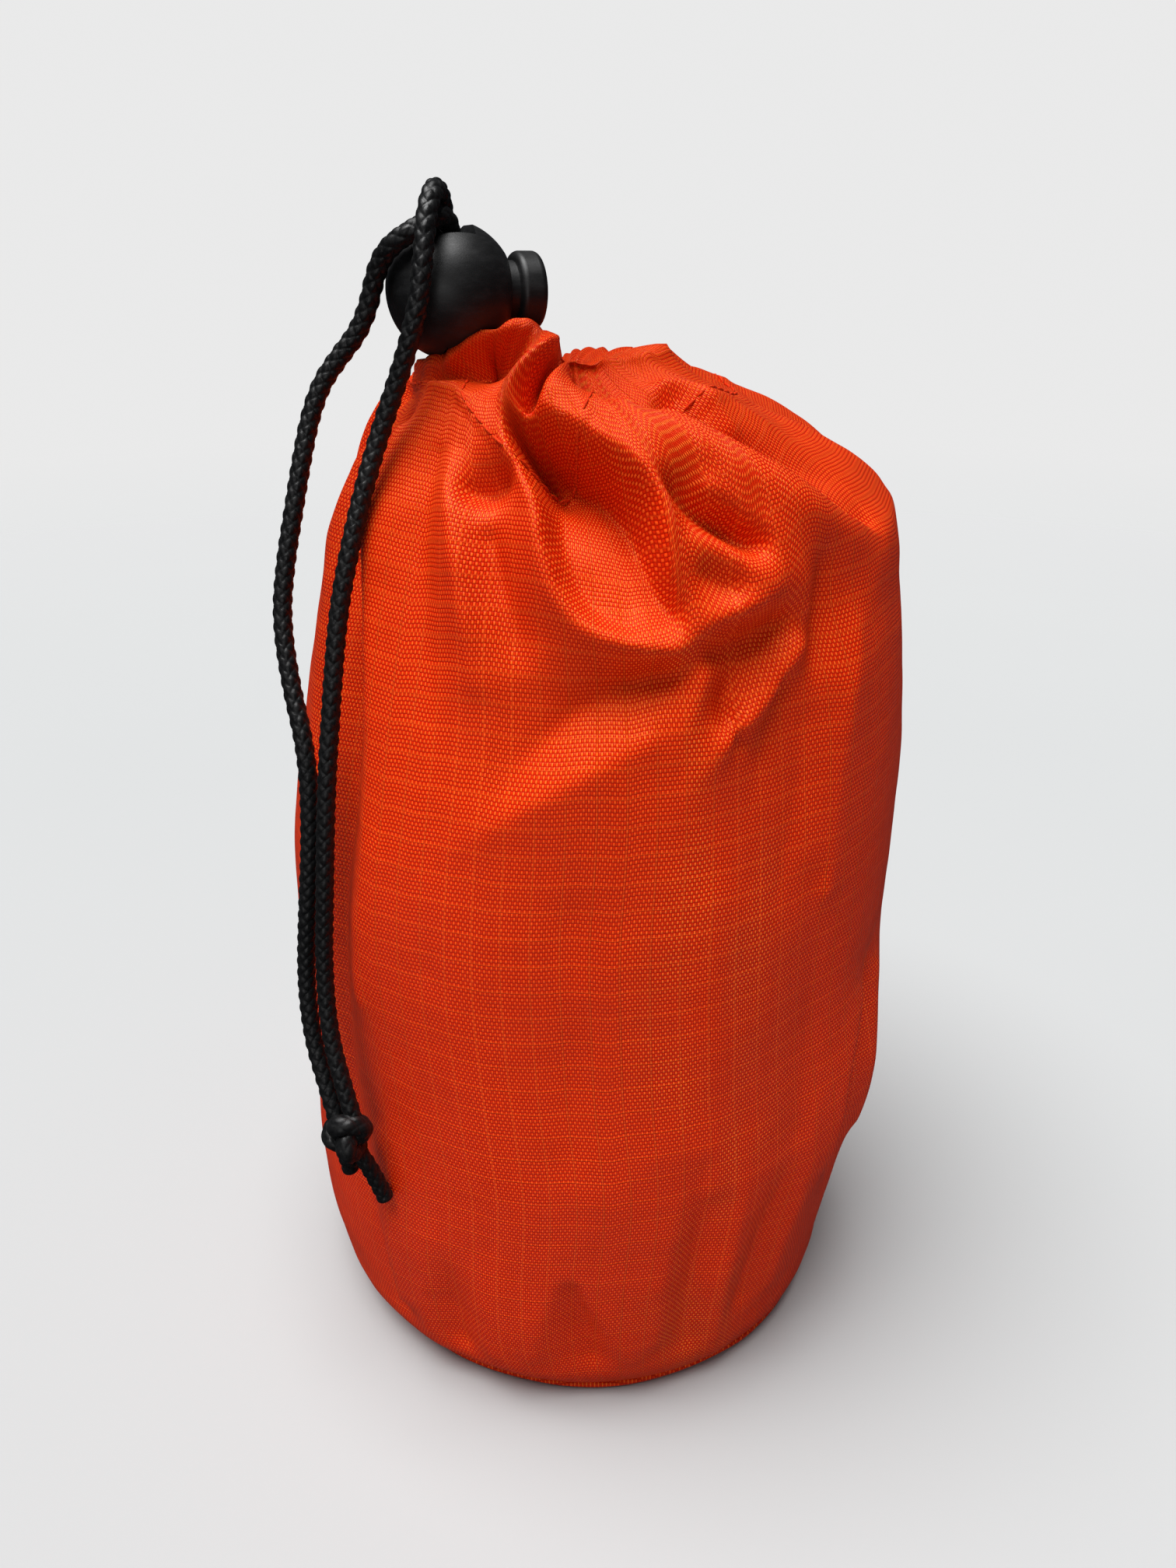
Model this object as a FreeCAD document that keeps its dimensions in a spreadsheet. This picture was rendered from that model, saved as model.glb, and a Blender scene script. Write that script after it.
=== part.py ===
"""A cinched, stuffed stuff sack with a drawcord and a ball cord lock, in millimetres.

The origin is the centre of the base's underside, +Z is up and -Y is the front. The cloth is lofted through
round sections, the hem is a ring round the mouth, and the lock stands beside the hem on the drawcord.
"""

import FreeCAD, Part
import math
import os

import Sketcher
from FreeCAD import Placement, Rotation, Vector

SIZES = {
    # cloth
    "cloth_thickness": 1.0,
    "base_radius": 46.0,
    "base_thickness": 1.0,
    "heel_radius": 50.3,
    "heel_height": 8.0,
    "tube_radius": 54.0,
    "tube_low_height": 42.0,
    "tube_high_height": 98.0,
    "shoulder_radius": 48.5,
    "shoulder_height": 140.0,
    "brow_radius": 43.5,
    "brow_height": 156.0,
    "crown_radius": 30.0,
    "crown_height": 168.0,
    "crown_thickening": 1.2,
    "neck_height": 170.5,
    "lean": 3.0,
    # mouth and hem
    "mouth_x": -4.0,
    "mouth_y": -8.0,
    "throat_radius": 5.5,
    "hem_width": 7.0,
    "hem_rise": 6.5,
    "hem_rounding": 1.5,
    "cord_exit_radius": 4.0,
    # seams and thread
    "seam_azimuth": 212.0,
    "allowance_width": 8.0,
    "allowance_thickness": 0.8,
    "allowance_top_height": 150.0,
    "base_allowance_height": 8.0,
    "thread_thickness": 0.3,
    "thread_width": 0.5,
    "stitch_height": 0.9,
    "bartack_width": 1.2,
    # load
    "load_clearance": 0.3,
    "load_height": 148.0,
    # cord
    "cord_diameter": 3.0,
    "cord_spacing": 3.1,
    "tunnel_clearance": 0.25,
    "bore_clearance": 0.2,
    # lock
    "lock_azimuth": 202.1,
    "lock_reach": 17.3,
    "lock_rise": 16.0,
    "ball_radius": 9.5,
    "ball_flat": 8.8,
    "flare_depth": 3.4,
    "flare_along": 1.2,
    "flare_across": 3.4,
    "bore_wall": 0.25,
    "stem_radius": 4.2,
    "stem_clearance": 0.08,
    "stem_end": 4.0,
    "button_radius": 5.5,
    "button_start": 9.4,
    "button_length": 4.0,
    "button_rounding": 1.0,
    "button_pocket_clearance": 0.3,
    "press_travel": 2.8,
    "stop_clearance": 0.15,
    "spring_radius": 2.2,
    "spring_wire": 0.35,
    "spring_turns": 4.0,
    "spring_clearance": 0.3,
    "spring_seat_end": 8.1,
    "spring_pocket_depth": 1.4,
    "stub_rise": 5.0,
    # knot
    "knot_radius": 4.7,
}

doc = FreeCAD.newDocument("stuff_sack")
sheet = doc.addObject("Spreadsheet::Sheet", "Sizes")
for row, (word, value) in enumerate(SIZES.items(), start=1):
    sheet.set(f"A{row}", word)
    sheet.set(f"B{row}", str(value))
    sheet.setAlias(f"B{row}", word)
doc.recompute()


def size(word):
    """The value of one cell of the sheet, in millimetres or degrees."""
    return float(sheet.get(word))


def bind(obj, **expressions):
    """Binds properties of an object to the sheet; a double underscore in a name stands for a dot."""
    for name, expression in expressions.items():
        obj.setExpression(name.replace("__", "."), expression)
    return obj


def named(obj, label):
    obj.Label = label
    return obj


def primitive(kind, name, **expressions):
    """A Part primitive or boolean whose sizes are bound to the sheet."""
    return bind(doc.addObject(f"Part::{kind}", name), **expressions)


def boolean(kind, name, base, tool):
    obj = doc.addObject(f"Part::{kind}", name)
    obj.Base = base
    obj.Tool = tool
    return obj


def fused(name, shapes):
    obj = doc.addObject("Part::MultiFuse", name)
    obj.Shapes = shapes
    return obj


# ---- cloth: lofts through round sections ----

WALL_SECTIONS = [
    # centre x, centre y, radius and height
    ("0", "0", "Sizes.base_radius", "Sizes.base_thickness"),
    ("0", "0", "Sizes.heel_radius", "Sizes.heel_height"),
    ("0", "0", "Sizes.tube_radius", "Sizes.tube_low_height"),
    ("Sizes.lean / 3", "0", "Sizes.tube_radius", "Sizes.tube_high_height"),
    ("Sizes.lean", "0", "Sizes.shoulder_radius", "Sizes.shoulder_height"),
    ("Sizes.lean", "0", "Sizes.brow_radius", "Sizes.brow_height"),
    ("Sizes.lean / 3", "0", "Sizes.crown_radius", "Sizes.crown_height"),
    ("Sizes.mouth_x", "Sizes.mouth_y", "(Sizes.throat_radius + Sizes.hem_width)", "Sizes.neck_height"),
]


def section(name, x, y, radius, height):
    circle = doc.addObject("Part::Circle", name)
    bind(circle, Radius=radius, Placement__Base__x=x, Placement__Base__y=y, Placement__Base__z=height)
    return circle


def loft(name, sections):
    """A smooth closed solid through horizontal circles."""
    obj = doc.addObject("Part::Loft", name)
    obj.Sections = [section(f"{name}_section{i}", *s) for i, s in enumerate(sections)]
    obj.Solid = True
    obj.Ruled = False
    return obj


def grown(offset):
    """The wall's outer form, moved outwards along its radius; a minus sign moves it inwards."""
    return [(x, y, f"{radius} + {offset}", height) for x, y, radius, height in WALL_SECTIONS]


def inner_form(offset):
    """The wall's hollow, moved inwards by the cloth and an offset. It narrows to the throat at the neck."""
    inset = f"(Sizes.cloth_thickness + {offset})"
    sections = [(x, y, f"{radius} - {inset}", height) for x, y, radius, height in WALL_SECTIONS[:-2]]
    x, y, radius, height = WALL_SECTIONS[-2]
    sections.append((x, y, f"{radius} - {inset}", f"{height} - Sizes.crown_thickening * {inset}"))
    x, y, radius, height = WALL_SECTIONS[-1]
    sections.append((x, y, "Sizes.throat_radius", height))
    return sections


def from_mouth(obj, azimuth, along, across, height):
    """Puts an object beside the mouth, measured along and across the azimuth that its X axis turns to."""
    turn = f"({azimuth} * 1 deg)"
    return bind(
        obj,
        Placement__Rotation__Angle=azimuth,
        Placement__Base__x=f"Sizes.mouth_x + ({along}) * cos{turn} - ({across}) * sin{turn}",
        Placement__Base__y=f"Sizes.mouth_y + ({along}) * sin{turn} + ({across}) * cos{turn}",
        Placement__Base__z=height,
    )


RIGHT_SEAM = "(Sizes.seam_azimuth - 180)"


def half_space(name, front):
    """A block on one side of the upright plane of the two side seams."""
    block = primitive("Box", name, Length="4 * Sizes.tube_radius", Width="2 * Sizes.tube_radius")
    bind(block, Height="Sizes.neck_height + Sizes.hem_rise")
    across = "-2 * Sizes.tube_radius" if front else "0"
    return from_mouth(block, RIGHT_SEAM, "-2 * Sizes.tube_radius", across, "0")


def make_wall():
    """The tube of cloth as a front and a back panel that meet at the two side seams."""
    outer = loft("wall_outer", grown("0"))
    hollow = loft("wall_hollow", inner_form("0"))
    shell = boolean("Cut", "wall_shell", outer, hollow)
    named(boolean("Common", "front_cloth", shell, half_space("front_side", True)), "front_panel")
    named(boolean("Common", "back_cloth", shell, half_space("back_side", False)), "back_panel")


def make_base():
    base = doc.addObject("PartDesign::Body", "base_body")
    sketch = sketch_on(base, "base_outline", "XY_Plane")
    circle = sketch.addGeometry(Part.Circle(Vector(0, 0, 0), Vector(0, 0, 1), size("base_radius")))
    dimension(sketch, "Radius", circle, "base_radius")
    pad = base.newObject("PartDesign::Pad", "base_pad")
    pad.Profile = sketch
    bind(pad, Length="Sizes.base_thickness")
    base.Tip = pad
    named(base, "base_panel")


def seam_strip(name, azimuth):
    """A block along one side seam, as wide as both turned-in edges."""
    strip = primitive("Box", name, Length="2 * Sizes.tube_radius", Width="2 * Sizes.allowance_width")
    bottom = "(Sizes.base_thickness + Sizes.base_allowance_height)"
    bind(strip, Height=f"Sizes.allowance_top_height - {bottom}")
    return from_mouth(strip, azimuth, "0", "-Sizes.allowance_width", bottom)


def make_allowances():
    """The turned-in seam edges: a layer just inside the wall, cut to strips."""
    outside = loft("lining_outer", inner_form("0"))
    inside = loft("lining_inner", inner_form("Sizes.allowance_thickness"))
    layer = boolean("Cut", "lining_layer", outside, inside)
    for side, azimuth in (("left", "Sizes.seam_azimuth"), ("right", RIGHT_SEAM)):
        strip = seam_strip(f"{side}_strip", azimuth)
        named(boolean("Common", f"{side}_allowance", layer, strip), f"{side}_seam_allowance")
    ring = primitive("Cylinder", "base_slab", Radius="2 * Sizes.tube_radius")
    bind(ring, Height="Sizes.base_allowance_height", Placement__Base__z="Sizes.base_thickness")
    named(boolean("Common", "base_allowance", layer, ring), "base_seam_allowance")


def make_load():
    """The packed load, clear of the seam edges inside the wall and of the base."""
    form = loft("load_form", inner_form("Sizes.allowance_thickness + Sizes.load_clearance"))
    keep = primitive("Cylinder", "load_keep", Radius="2 * Sizes.tube_radius")
    bottom = "(Sizes.base_thickness + Sizes.load_clearance)"
    bind(keep, Height=f"Sizes.load_height - {bottom}", Placement__Base__z=bottom)
    named(boolean("Common", "load", form, keep), "packed_contents")


# ---- sketches ----


def sketch_on(body, name, role):
    """A sketch on one of the body's own origin planes."""
    sketch = body.newObject("Sketcher::SketchObject", name)
    plane = next(f for f in body.Origin.OriginFeatures if f.Role == role)
    sketch.AttachmentSupport = [(plane, "")]
    sketch.MapMode = "FlatFace"
    return sketch


def dimension(sketch, kind, element, word):
    """One dimension of a sketch, bound to a cell."""
    index = sketch.addConstraint(Sketcher.Constraint(kind, element, size(word)))
    sketch.setExpression(f"Constraints[{index}]", f"Sizes.{word}")


def outline(sketch, points):
    """A closed outline of straight lines whose corners are bound to expressions for their x and y."""
    corners = [(sheet.evalExpression(x), sheet.evalExpression(y)) for x, y in points]
    count = len(corners)
    for i in range(count):
        a, b = corners[i], corners[(i + 1) % count]
        sketch.addGeometry(Part.LineSegment(Vector(*a, 0), Vector(*b, 0)))
    for i in range(count):
        sketch.addConstraint(Sketcher.Constraint("Coincident", i, 2, (i + 1) % count, 1))
    for i, (x, y) in enumerate(points):
        for kind, expression, value in (("DistanceX", x, corners[i][0]), ("DistanceY", y, corners[i][1])):
            index = sketch.addConstraint(Sketcher.Constraint(kind, -1, 1, i, 1, value))
            sketch.setExpression(f"Constraints[{index}]", expression)


# ---- hem ----


def ring_radius():
    """Radius of the drawcord's loop: the middle of the hem's width, from the mouth's axis."""
    return size("throat_radius") + size("hem_width") / 2


def tunnel_height():
    return size("neck_height") + size("hem_rise") / 2


def exit_direction():
    """The way from the mouth's axis to the lock."""
    azimuth = math.radians(size("lock_azimuth"))
    return Vector(math.cos(azimuth), math.sin(azimuth), 0)


def mouth(height):
    return Vector(size("mouth_x"), size("mouth_y"), height)


def make_hem():
    """The gathered hem: a ring with a rounded top, a round tunnel and a gap where the cord leaves."""
    hem = doc.addObject("PartDesign::Body", "hem_body")
    sketch = sketch_on(hem, "hem_profile", "XZ_Plane")
    inner, outer = "Sizes.throat_radius", "Sizes.throat_radius + Sizes.hem_width"
    outline(sketch, [(inner, "0"), (outer, "0"), (outer, "Sizes.hem_rise"), (inner, "Sizes.hem_rise")])
    ring = hem.newObject("PartDesign::Revolution", "hem_ring")
    ring.Profile = sketch
    ring.ReferenceAxis = (sketch, ["V_Axis"])
    hem.Tip = ring
    bind(
        hem,
        Placement__Base__x="Sizes.mouth_x",
        Placement__Base__y="Sizes.mouth_y",
        Placement__Base__z="Sizes.neck_height",
    )
    tunnel = primitive("Torus", "hem_tunnel", Radius1="Sizes.throat_radius + Sizes.hem_width / 2")
    bind(
        tunnel,
        Radius2="Sizes.cord_diameter / 2 + Sizes.tunnel_clearance",
        Placement__Base__x="Sizes.mouth_x",
        Placement__Base__y="Sizes.mouth_y",
        Placement__Base__z="Sizes.neck_height + Sizes.hem_rise / 2",
    )
    doc.recompute()
    top_edges = [
        i + 1
        for i, edge in enumerate(ring.Shape.Edges)
        if edge.BoundBox.ZMin > size("hem_rise") - 0.01
    ]
    rounding = hem.newObject("PartDesign::Fillet", "hem_rounded")
    rounding.Base = (ring, [f"Edge{i}" for i in top_edges])
    bind(rounding, Radius="Sizes.hem_rounding")
    hem.Tip = rounding
    hollow = boolean("Cut", "hem_hollow", hem, tunnel)
    named(boolean("Cut", "hem_cut", hollow, exit_cut()), "hem_channel")


GAP_HALF_WIDTH = "(Sizes.cord_spacing / 2 + Sizes.cord_exit_radius + Sizes.tunnel_clearance)"


def exit_cut():
    """A block that opens the tunnel's outer wall over the whole turn of both cord ends."""
    height = "(Sizes.cord_diameter + 2 * Sizes.tunnel_clearance)"
    start = "Sizes.throat_radius + Sizes.hem_width / 2 - Sizes.cord_diameter / 2"
    bottom = f"Sizes.neck_height + Sizes.hem_rise / 2 - {height} / 2"
    block = primitive("Box", "exit_block", Length="Sizes.hem_width", Width=f"2 * {GAP_HALF_WIDTH}")
    bind(block, Height=height)
    return from_mouth(block, "Sizes.lock_azimuth", start, f"-{GAP_HALF_WIDTH}", bottom)


def collar(name, height, rise):
    """A thin band round the hem's outer face."""
    outer = primitive("Cylinder", f"{name}_outer")
    inner = primitive("Cylinder", f"{name}_inner", Radius="Sizes.throat_radius + Sizes.hem_width")
    bind(outer, Radius="Sizes.throat_radius + Sizes.hem_width + Sizes.thread_thickness")
    for cylinder in (outer, inner):
        bind(
            cylinder,
            Height=rise,
            Placement__Base__x="Sizes.mouth_x",
            Placement__Base__y="Sizes.mouth_y",
            Placement__Base__z=height,
        )
    return boolean("Cut", name, outer, inner)


def make_hem_thread():
    """The thread line round the hem and a bartack at each end of the cord's gap."""
    line = collar("hem_line", "Sizes.neck_height + Sizes.stitch_height", "Sizes.thread_width")
    named(line, "hem_stitching")
    # The bartacks start above the thread line and end below the hem's rounding
    above_line = "(Sizes.stitch_height + Sizes.thread_width + Sizes.thread_thickness)"
    bottom = f"Sizes.neck_height + {above_line}"
    rise = f"Sizes.hem_rise - Sizes.hem_rounding - {above_line}"
    beside_gap = f"({GAP_HALF_WIDTH} + Sizes.thread_thickness)"
    for side, across in (("front", beside_gap), ("back", f"-{beside_gap} - Sizes.bartack_width")):
        band = collar(f"{side}_band", bottom, rise)
        block = primitive("Box", f"{side}_bar", Width="Sizes.bartack_width", Height=rise)
        bind(block, Length="Sizes.throat_radius + 2 * Sizes.hem_width")
        from_mouth(block, "Sizes.lock_azimuth", "0", across, bottom)
        named(boolean("Common", f"{side}_tack", band, block), f"gap_bartack_{side}")


# ---- cords ----


def across_bore():
    """The way from the back strand to the front strand where they lie side by side in the bore."""
    along = exit_direction()
    return Vector(-along.y, along.x, 0)


def turn_arc(before, corner, after):
    """The tangent arc at one corner of a route: its two ends, its middle and its radius."""
    towards_start = (before - corner).normalize()
    towards_end = (after - corner).normalize()
    reach = 0.45 * min((before - corner).Length, (after - corner).Length)
    half_turn = (math.pi - towards_start.getAngle(towards_end)) / 2
    radius = reach / math.tan(half_turn)
    middle_way = (towards_start + towards_end).normalize()
    to_centre = radius / math.cos(half_turn)
    middle = corner + middle_way * (to_centre - radius)
    return corner + towards_start * reach, middle, corner + towards_end * reach, radius


def route_edges(points, first, last):
    """Straight runs joined by tangent arcs, from the middle of run first to the middle of run last.

    A negative first starts at the route's first point, and a last of None ends at its last point.
    """
    end_run = len(points) - 2 if last is None else last
    start = points[0] if first < 0 else (points[first] + points[first + 1]) * 0.5
    finish = points[-1] if last is None else (points[last] + points[last + 1]) * 0.5
    edges, radii = [], []
    at = start
    for i in range(max(first, 0) + 1, end_run + 1):
        arc_start, middle, arc_end, radius = turn_arc(points[i - 1], points[i], points[i + 1])
        edges.append(Part.LineSegment(at, arc_start).toShape())
        edges.append(Part.Arc(arc_start, middle, arc_end).toShape())
        radii.append(radius)
        at = arc_end
    edges.append(Part.LineSegment(at, finish).toShape())
    return edges, radii


def tube(edges, label):
    """A cord's solid along its edges, checked against its section times its length."""
    wire = Part.Wire(edges)
    radius = size("cord_diameter") / 2
    start = edges[0].valueAt(edges[0].FirstParameter)
    way = edges[0].tangentAt(edges[0].FirstParameter)
    profile = Part.Wire([Part.Circle(start, way, radius).toShape()])
    solid = wire.makePipeShell([profile], True, False)
    expected = math.pi * radius**2 * wire.Length
    if abs(solid.Volume / expected - 1) > 0.01:
        raise ValueError(f"{label} has volume {solid.Volume:.1f} and should have {expected:.1f}")
    return solid


def cord(name, points, first=-1, last=None):
    """A stretch of cord as a tube along its route; its length and its bends' radii are printed."""
    edges, radii = route_edges(points, first, last)
    obj = doc.addObject("Part::Feature", name)
    obj.Shape = tube(edges, name)
    length = sum(edge.Length for edge in edges)
    print(name, "length", round(length, 1), "radii", [round(r, 1) for r in radii])
    return obj


# Each strand's points over the ball, and then down the sack; they change in the middle of a run
FRONT_OVER = [
    Vector(-20.6, -13.1, 191.5),
    Vector(-20.6, -13.1, 194.1),
    Vector(-20.6, -14.1, 196.8),
    Vector(-20.7, -16.4, 198.9),
    Vector(-21.0, -19.1, 199.8),
    Vector(-21.3, -21.9, 199.1),
    Vector(-21.8, -23.8, 196.9),
]

FRONT_DOWN = [
    Vector(-22.1, -25.3, 193.9),
    Vector(-22.6, -26.3, 189.4),
    Vector(-23.4, -26.9, 184.6),
    Vector(-25.2, -26.5, 179.2),
    Vector(-27.6, -25.8, 173.4),
    Vector(-30.2, -26.3, 167.0),
    Vector(-32.5, -28.3, 160.0),
    Vector(-34.8, -30.4, 151.8),
    Vector(-36.9, -32.2, 142.6),
    Vector(-38.4, -34.8, 130.0),
    Vector(-40.0, -37.3, 115.6),
    Vector(-41.3, -38.5, 100.0),
    Vector(-42.6, -39.0, 86.0),
    Vector(-42.3, -40.8, 75.0),
    Vector(-40.4, -43.3, 67.0),
    Vector(-38.8, -44.6, 60.8),
]

LEFT_OVER = [
    Vector(-19.4, -15.9, 191.5),
    Vector(-19.4, -15.9, 193.9),
    Vector(-19.8, -17.4, 196.0),
    Vector(-20.8, -19.8, 196.4),
    Vector(-22.6, -21.3, 195.2),
]

LEFT_DOWN = [
    Vector(-24.9, -21.9, 194.0),
    Vector(-27.3, -21.1, 192.6),
    Vector(-29.2, -19.8, 190.7),
    Vector(-30.5, -18.9, 187.9),
    Vector(-31.6, -18.5, 184.5),
    Vector(-33.4, -18.4, 181.0),
    Vector(-36.2, -18.3, 177.9),
    Vector(-39.2, -18.6, 174.2),
    Vector(-41.2, -19.5, 169.4),
    Vector(-42.7, -21.2, 163.2),
    Vector(-44.1, -23.0, 156.4),
    Vector(-45.7, -24.6, 149.0),
    Vector(-46.7, -26.7, 141.0),
    Vector(-45.5, -30.1, 131.8),
    Vector(-42.9, -34.4, 121.6),
    Vector(-43.1, -36.3, 109.5),
    Vector(-44.7, -37.2, 96.0),
    Vector(-46.1, -37.5, 83.5),
    Vector(-45.6, -39.4, 73.5),
    Vector(-43.4, -42.2, 66.0),
    Vector(-41.9, -43.9, 60.6),
]

LONG_END = [
    Vector(-39.2, -44.6, 55.3),
    Vector(-37.9, -44.7, 52.7),
    Vector(-36.7, -44.3, 49.4),
    Vector(-35.3, -44.1, 45.2),
    Vector(-34.6, -44.2, 42.9),
]

SHORT_END = [
    Vector(-40.6, -43.8, 54.6),
    Vector(-41.1, -43.0, 52.2),
    Vector(-40.9, -42.4, 49.6),
    Vector(-40.6, -42.2, 47.4),
]

KNOT_CENTRE = Vector(-40.1, -44.5, 57.5)


def make_strands():
    """The two strands over the ball and down the sack, the knot and the cord's ends below it."""
    knot = primitive("Sphere", "knot_ball", Radius="Sizes.knot_radius")
    knot.Placement.Base = KNOT_CENTRE
    named(knot, "cord_knot")
    front_route, front_leaves = FRONT_OVER + FRONT_DOWN, len(FRONT_OVER) - 1
    left_route, left_leaves = LEFT_OVER + LEFT_DOWN, len(LEFT_OVER) - 1
    named(cord("front_over", front_route, last=front_leaves), "front_bend")
    named(cord("left_over", left_route, last=left_leaves), "left_bend")
    into_knot = (
        ("front_strand", cord("front_down", front_route, first=front_leaves)),
        ("left_strand", cord("left_down", left_route, first=left_leaves)),
        ("long_end", cord("long_tail", LONG_END)),
        ("short_end", cord("short_tail", SHORT_END)),
    )
    for label, piece in into_knot:
        named(boolean("Cut", f"{piece.Name}_outside", piece, knot), label)


def loop_half(side):
    """One end of the drawcord, from inside the lock's bore down to where it joins its loop in the hem.

    side is 1 for the front strand and -1 for the back one. The cord drops through the bore, turns in over
    the hem, turns again and runs into the loop's circle.
    """
    out, across = exit_direction(), across_bore() * side
    bend, ring, half_gap = size("cord_exit_radius"), ring_radius(), size("cord_spacing") / 2
    drop = size("lock_reach") - math.sqrt((ring + bend) ** 2 - (half_gap + bend) ** 2)
    centre = mouth(tunnel_height())
    bore = centre + out * size("lock_reach") + across * half_gap
    top = Vector(bore.x, bore.y, size("neck_height") + size("lock_rise") + size("stub_rise"))
    up = Vector(0, 0, 1)
    corner_radius = drop
    arc_top = bore + up * corner_radius
    arc_low = bore - out * corner_radius
    corner_middle = arc_top - out * corner_radius - (up - out).normalize() * corner_radius
    turn_centre = arc_low + across * bend
    to_ring = (centre - turn_centre).normalize()
    join = turn_centre + to_ring * bend
    turn_middle = turn_centre + (to_ring - across).normalize() * bend
    edges = [
        Part.LineSegment(top, arc_top).toShape(),
        Part.Arc(arc_top, corner_middle, arc_low).toShape(),
        Part.Arc(arc_low, turn_middle, join).toShape(),
    ]
    return edges, join


def make_drawcord():
    """The drawcord that the hem and the lock hold: down the bore, round the hem and up again."""
    front, front_join = loop_half(1)
    back, back_join = loop_half(-1)
    far_side = mouth(tunnel_height()) - exit_direction() * ring_radius()
    loop = Part.Arc(front_join, far_side, back_join).toShape()
    edges = front + [loop] + [reversed_edge(edge) for edge in reversed(back)]
    obj = doc.addObject("Part::Feature", "drawcord_loop")
    obj.Shape = tube(edges, "drawcord")
    print("drawcord length", round(sum(edge.Length for edge in edges), 1))
    named(obj, "drawcord")


def reversed_edge(edge):
    """The same edge, drawn from its other end."""
    start, end = edge.valueAt(edge.LastParameter), edge.valueAt(edge.FirstParameter)
    middle = edge.valueAt((edge.FirstParameter + edge.LastParameter) / 2)
    if abs((middle - start).getAngle(end - start)) < 1e-6:
        return Part.LineSegment(start, end).toShape()
    return Part.Arc(start, middle, end).toShape()


# ---- cord lock: modelled with its button's axis along X and its cord bore along Z ----


def on_lock(obj):
    """Puts a piece of the lock in its place: turned so that the button points back over the mouth."""
    return from_mouth(obj, "(Sizes.lock_azimuth - 180)", "-Sizes.lock_reach", "0", LOCK_HEIGHT)


LOCK_HEIGHT = "Sizes.neck_height + Sizes.lock_rise"
BORE_HALF_LENGTH = "(Sizes.cord_diameter / 2 + Sizes.bore_clearance)"
BORE_HALF_WIDTH = "(Sizes.cord_spacing / 2 + Sizes.cord_diameter / 2 + Sizes.bore_wall)"
STEM_BORE = "(Sizes.stem_radius + Sizes.stem_clearance)"
STEM_BORE_END = "(Sizes.stem_end + Sizes.press_travel + Sizes.stop_clearance)"
POCKET_FLOOR = "(Sizes.button_start - Sizes.press_travel - Sizes.stop_clearance)"


def along_axis(name, radius, start, length):
    """A cylinder along the button's axis."""
    cylinder = primitive("Cylinder", name, Radius=radius, Height=length, Placement__Base__x=start)
    cylinder.Placement.Rotation = Rotation(Vector(0, 1, 0), 90)
    return cylinder


def bore_slot(name):
    """The upright slot that both strands pass through side by side."""
    slot = primitive("Box", name, Length=f"2 * {BORE_HALF_LENGTH}", Width=f"2 * {BORE_HALF_WIDTH}")
    bind(
        slot,
        Height="2 * Sizes.ball_radius",
        Placement__Base__x=f"-{BORE_HALF_LENGTH}",
        Placement__Base__y=f"-{BORE_HALF_WIDTH}",
        Placement__Base__z="-Sizes.ball_radius",
    )
    return slot


def flare(name, way):
    """The wide mouth of the bore, as a wedge-sided block."""
    block = doc.addObject("Part::Wedge", name)
    narrow_x, narrow_y = BORE_HALF_LENGTH, BORE_HALF_WIDTH
    wide_x, wide_y = f"({narrow_x} + Sizes.flare_along)", f"({narrow_y} + Sizes.flare_across)"
    bind(
        block,
        Xmin=f"-{narrow_x}", Xmax=narrow_x, X2min=f"-{wide_x}", X2max=wide_x,
        Zmin=f"-{narrow_y}", Zmax=narrow_y, Z2min=f"-{wide_y}", Z2max=wide_y,
        Ymin="Sizes.ball_flat - Sizes.flare_depth", Ymax="Sizes.ball_flat",
    )
    block.Placement.Rotation = Rotation(Vector(1, 0, 0), 90 * way)
    return block


def make_barrel():
    """The ball: flat at both ends of the bore, with the button's bore, pocket and spring seat."""
    ball = primitive("Sphere", "ball", Radius="Sizes.ball_radius")
    trim = primitive("Box", "ball_trim", Length="2 * Sizes.ball_radius", Width="2 * Sizes.ball_radius")
    bind(
        trim,
        Height="2 * Sizes.ball_flat",
        Placement__Base__x="-Sizes.ball_radius",
        Placement__Base__y="-Sizes.ball_radius",
        Placement__Base__z="-Sizes.ball_flat",
    )
    stem_length = f"{STEM_BORE_END} + Sizes.ball_radius"
    stem_bore = along_axis("stem_bore", STEM_BORE, f"-{STEM_BORE_END}", stem_length)
    pocket_radius = "Sizes.button_radius + Sizes.button_pocket_clearance"
    pocket = along_axis("button_pocket", pocket_radius, POCKET_FLOOR, "Sizes.ball_radius")
    seat_radius = "Sizes.spring_radius + Sizes.spring_wire / 2 + Sizes.spring_clearance"
    seat = along_axis("spring_seat", seat_radius, "-Sizes.spring_seat_end", "Sizes.spring_seat_end")
    cord_way = [bore_slot("barrel_slot"), flare("flare_top", 1), flare("flare_bottom", -1)]
    tools = fused("barrel_tools", cord_way + [stem_bore, pocket, seat])
    blank = boolean("Common", "barrel_blank", ball, trim)
    named(on_lock(boolean("Cut", "barrel", blank, tools)), "lock_barrel")


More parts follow.
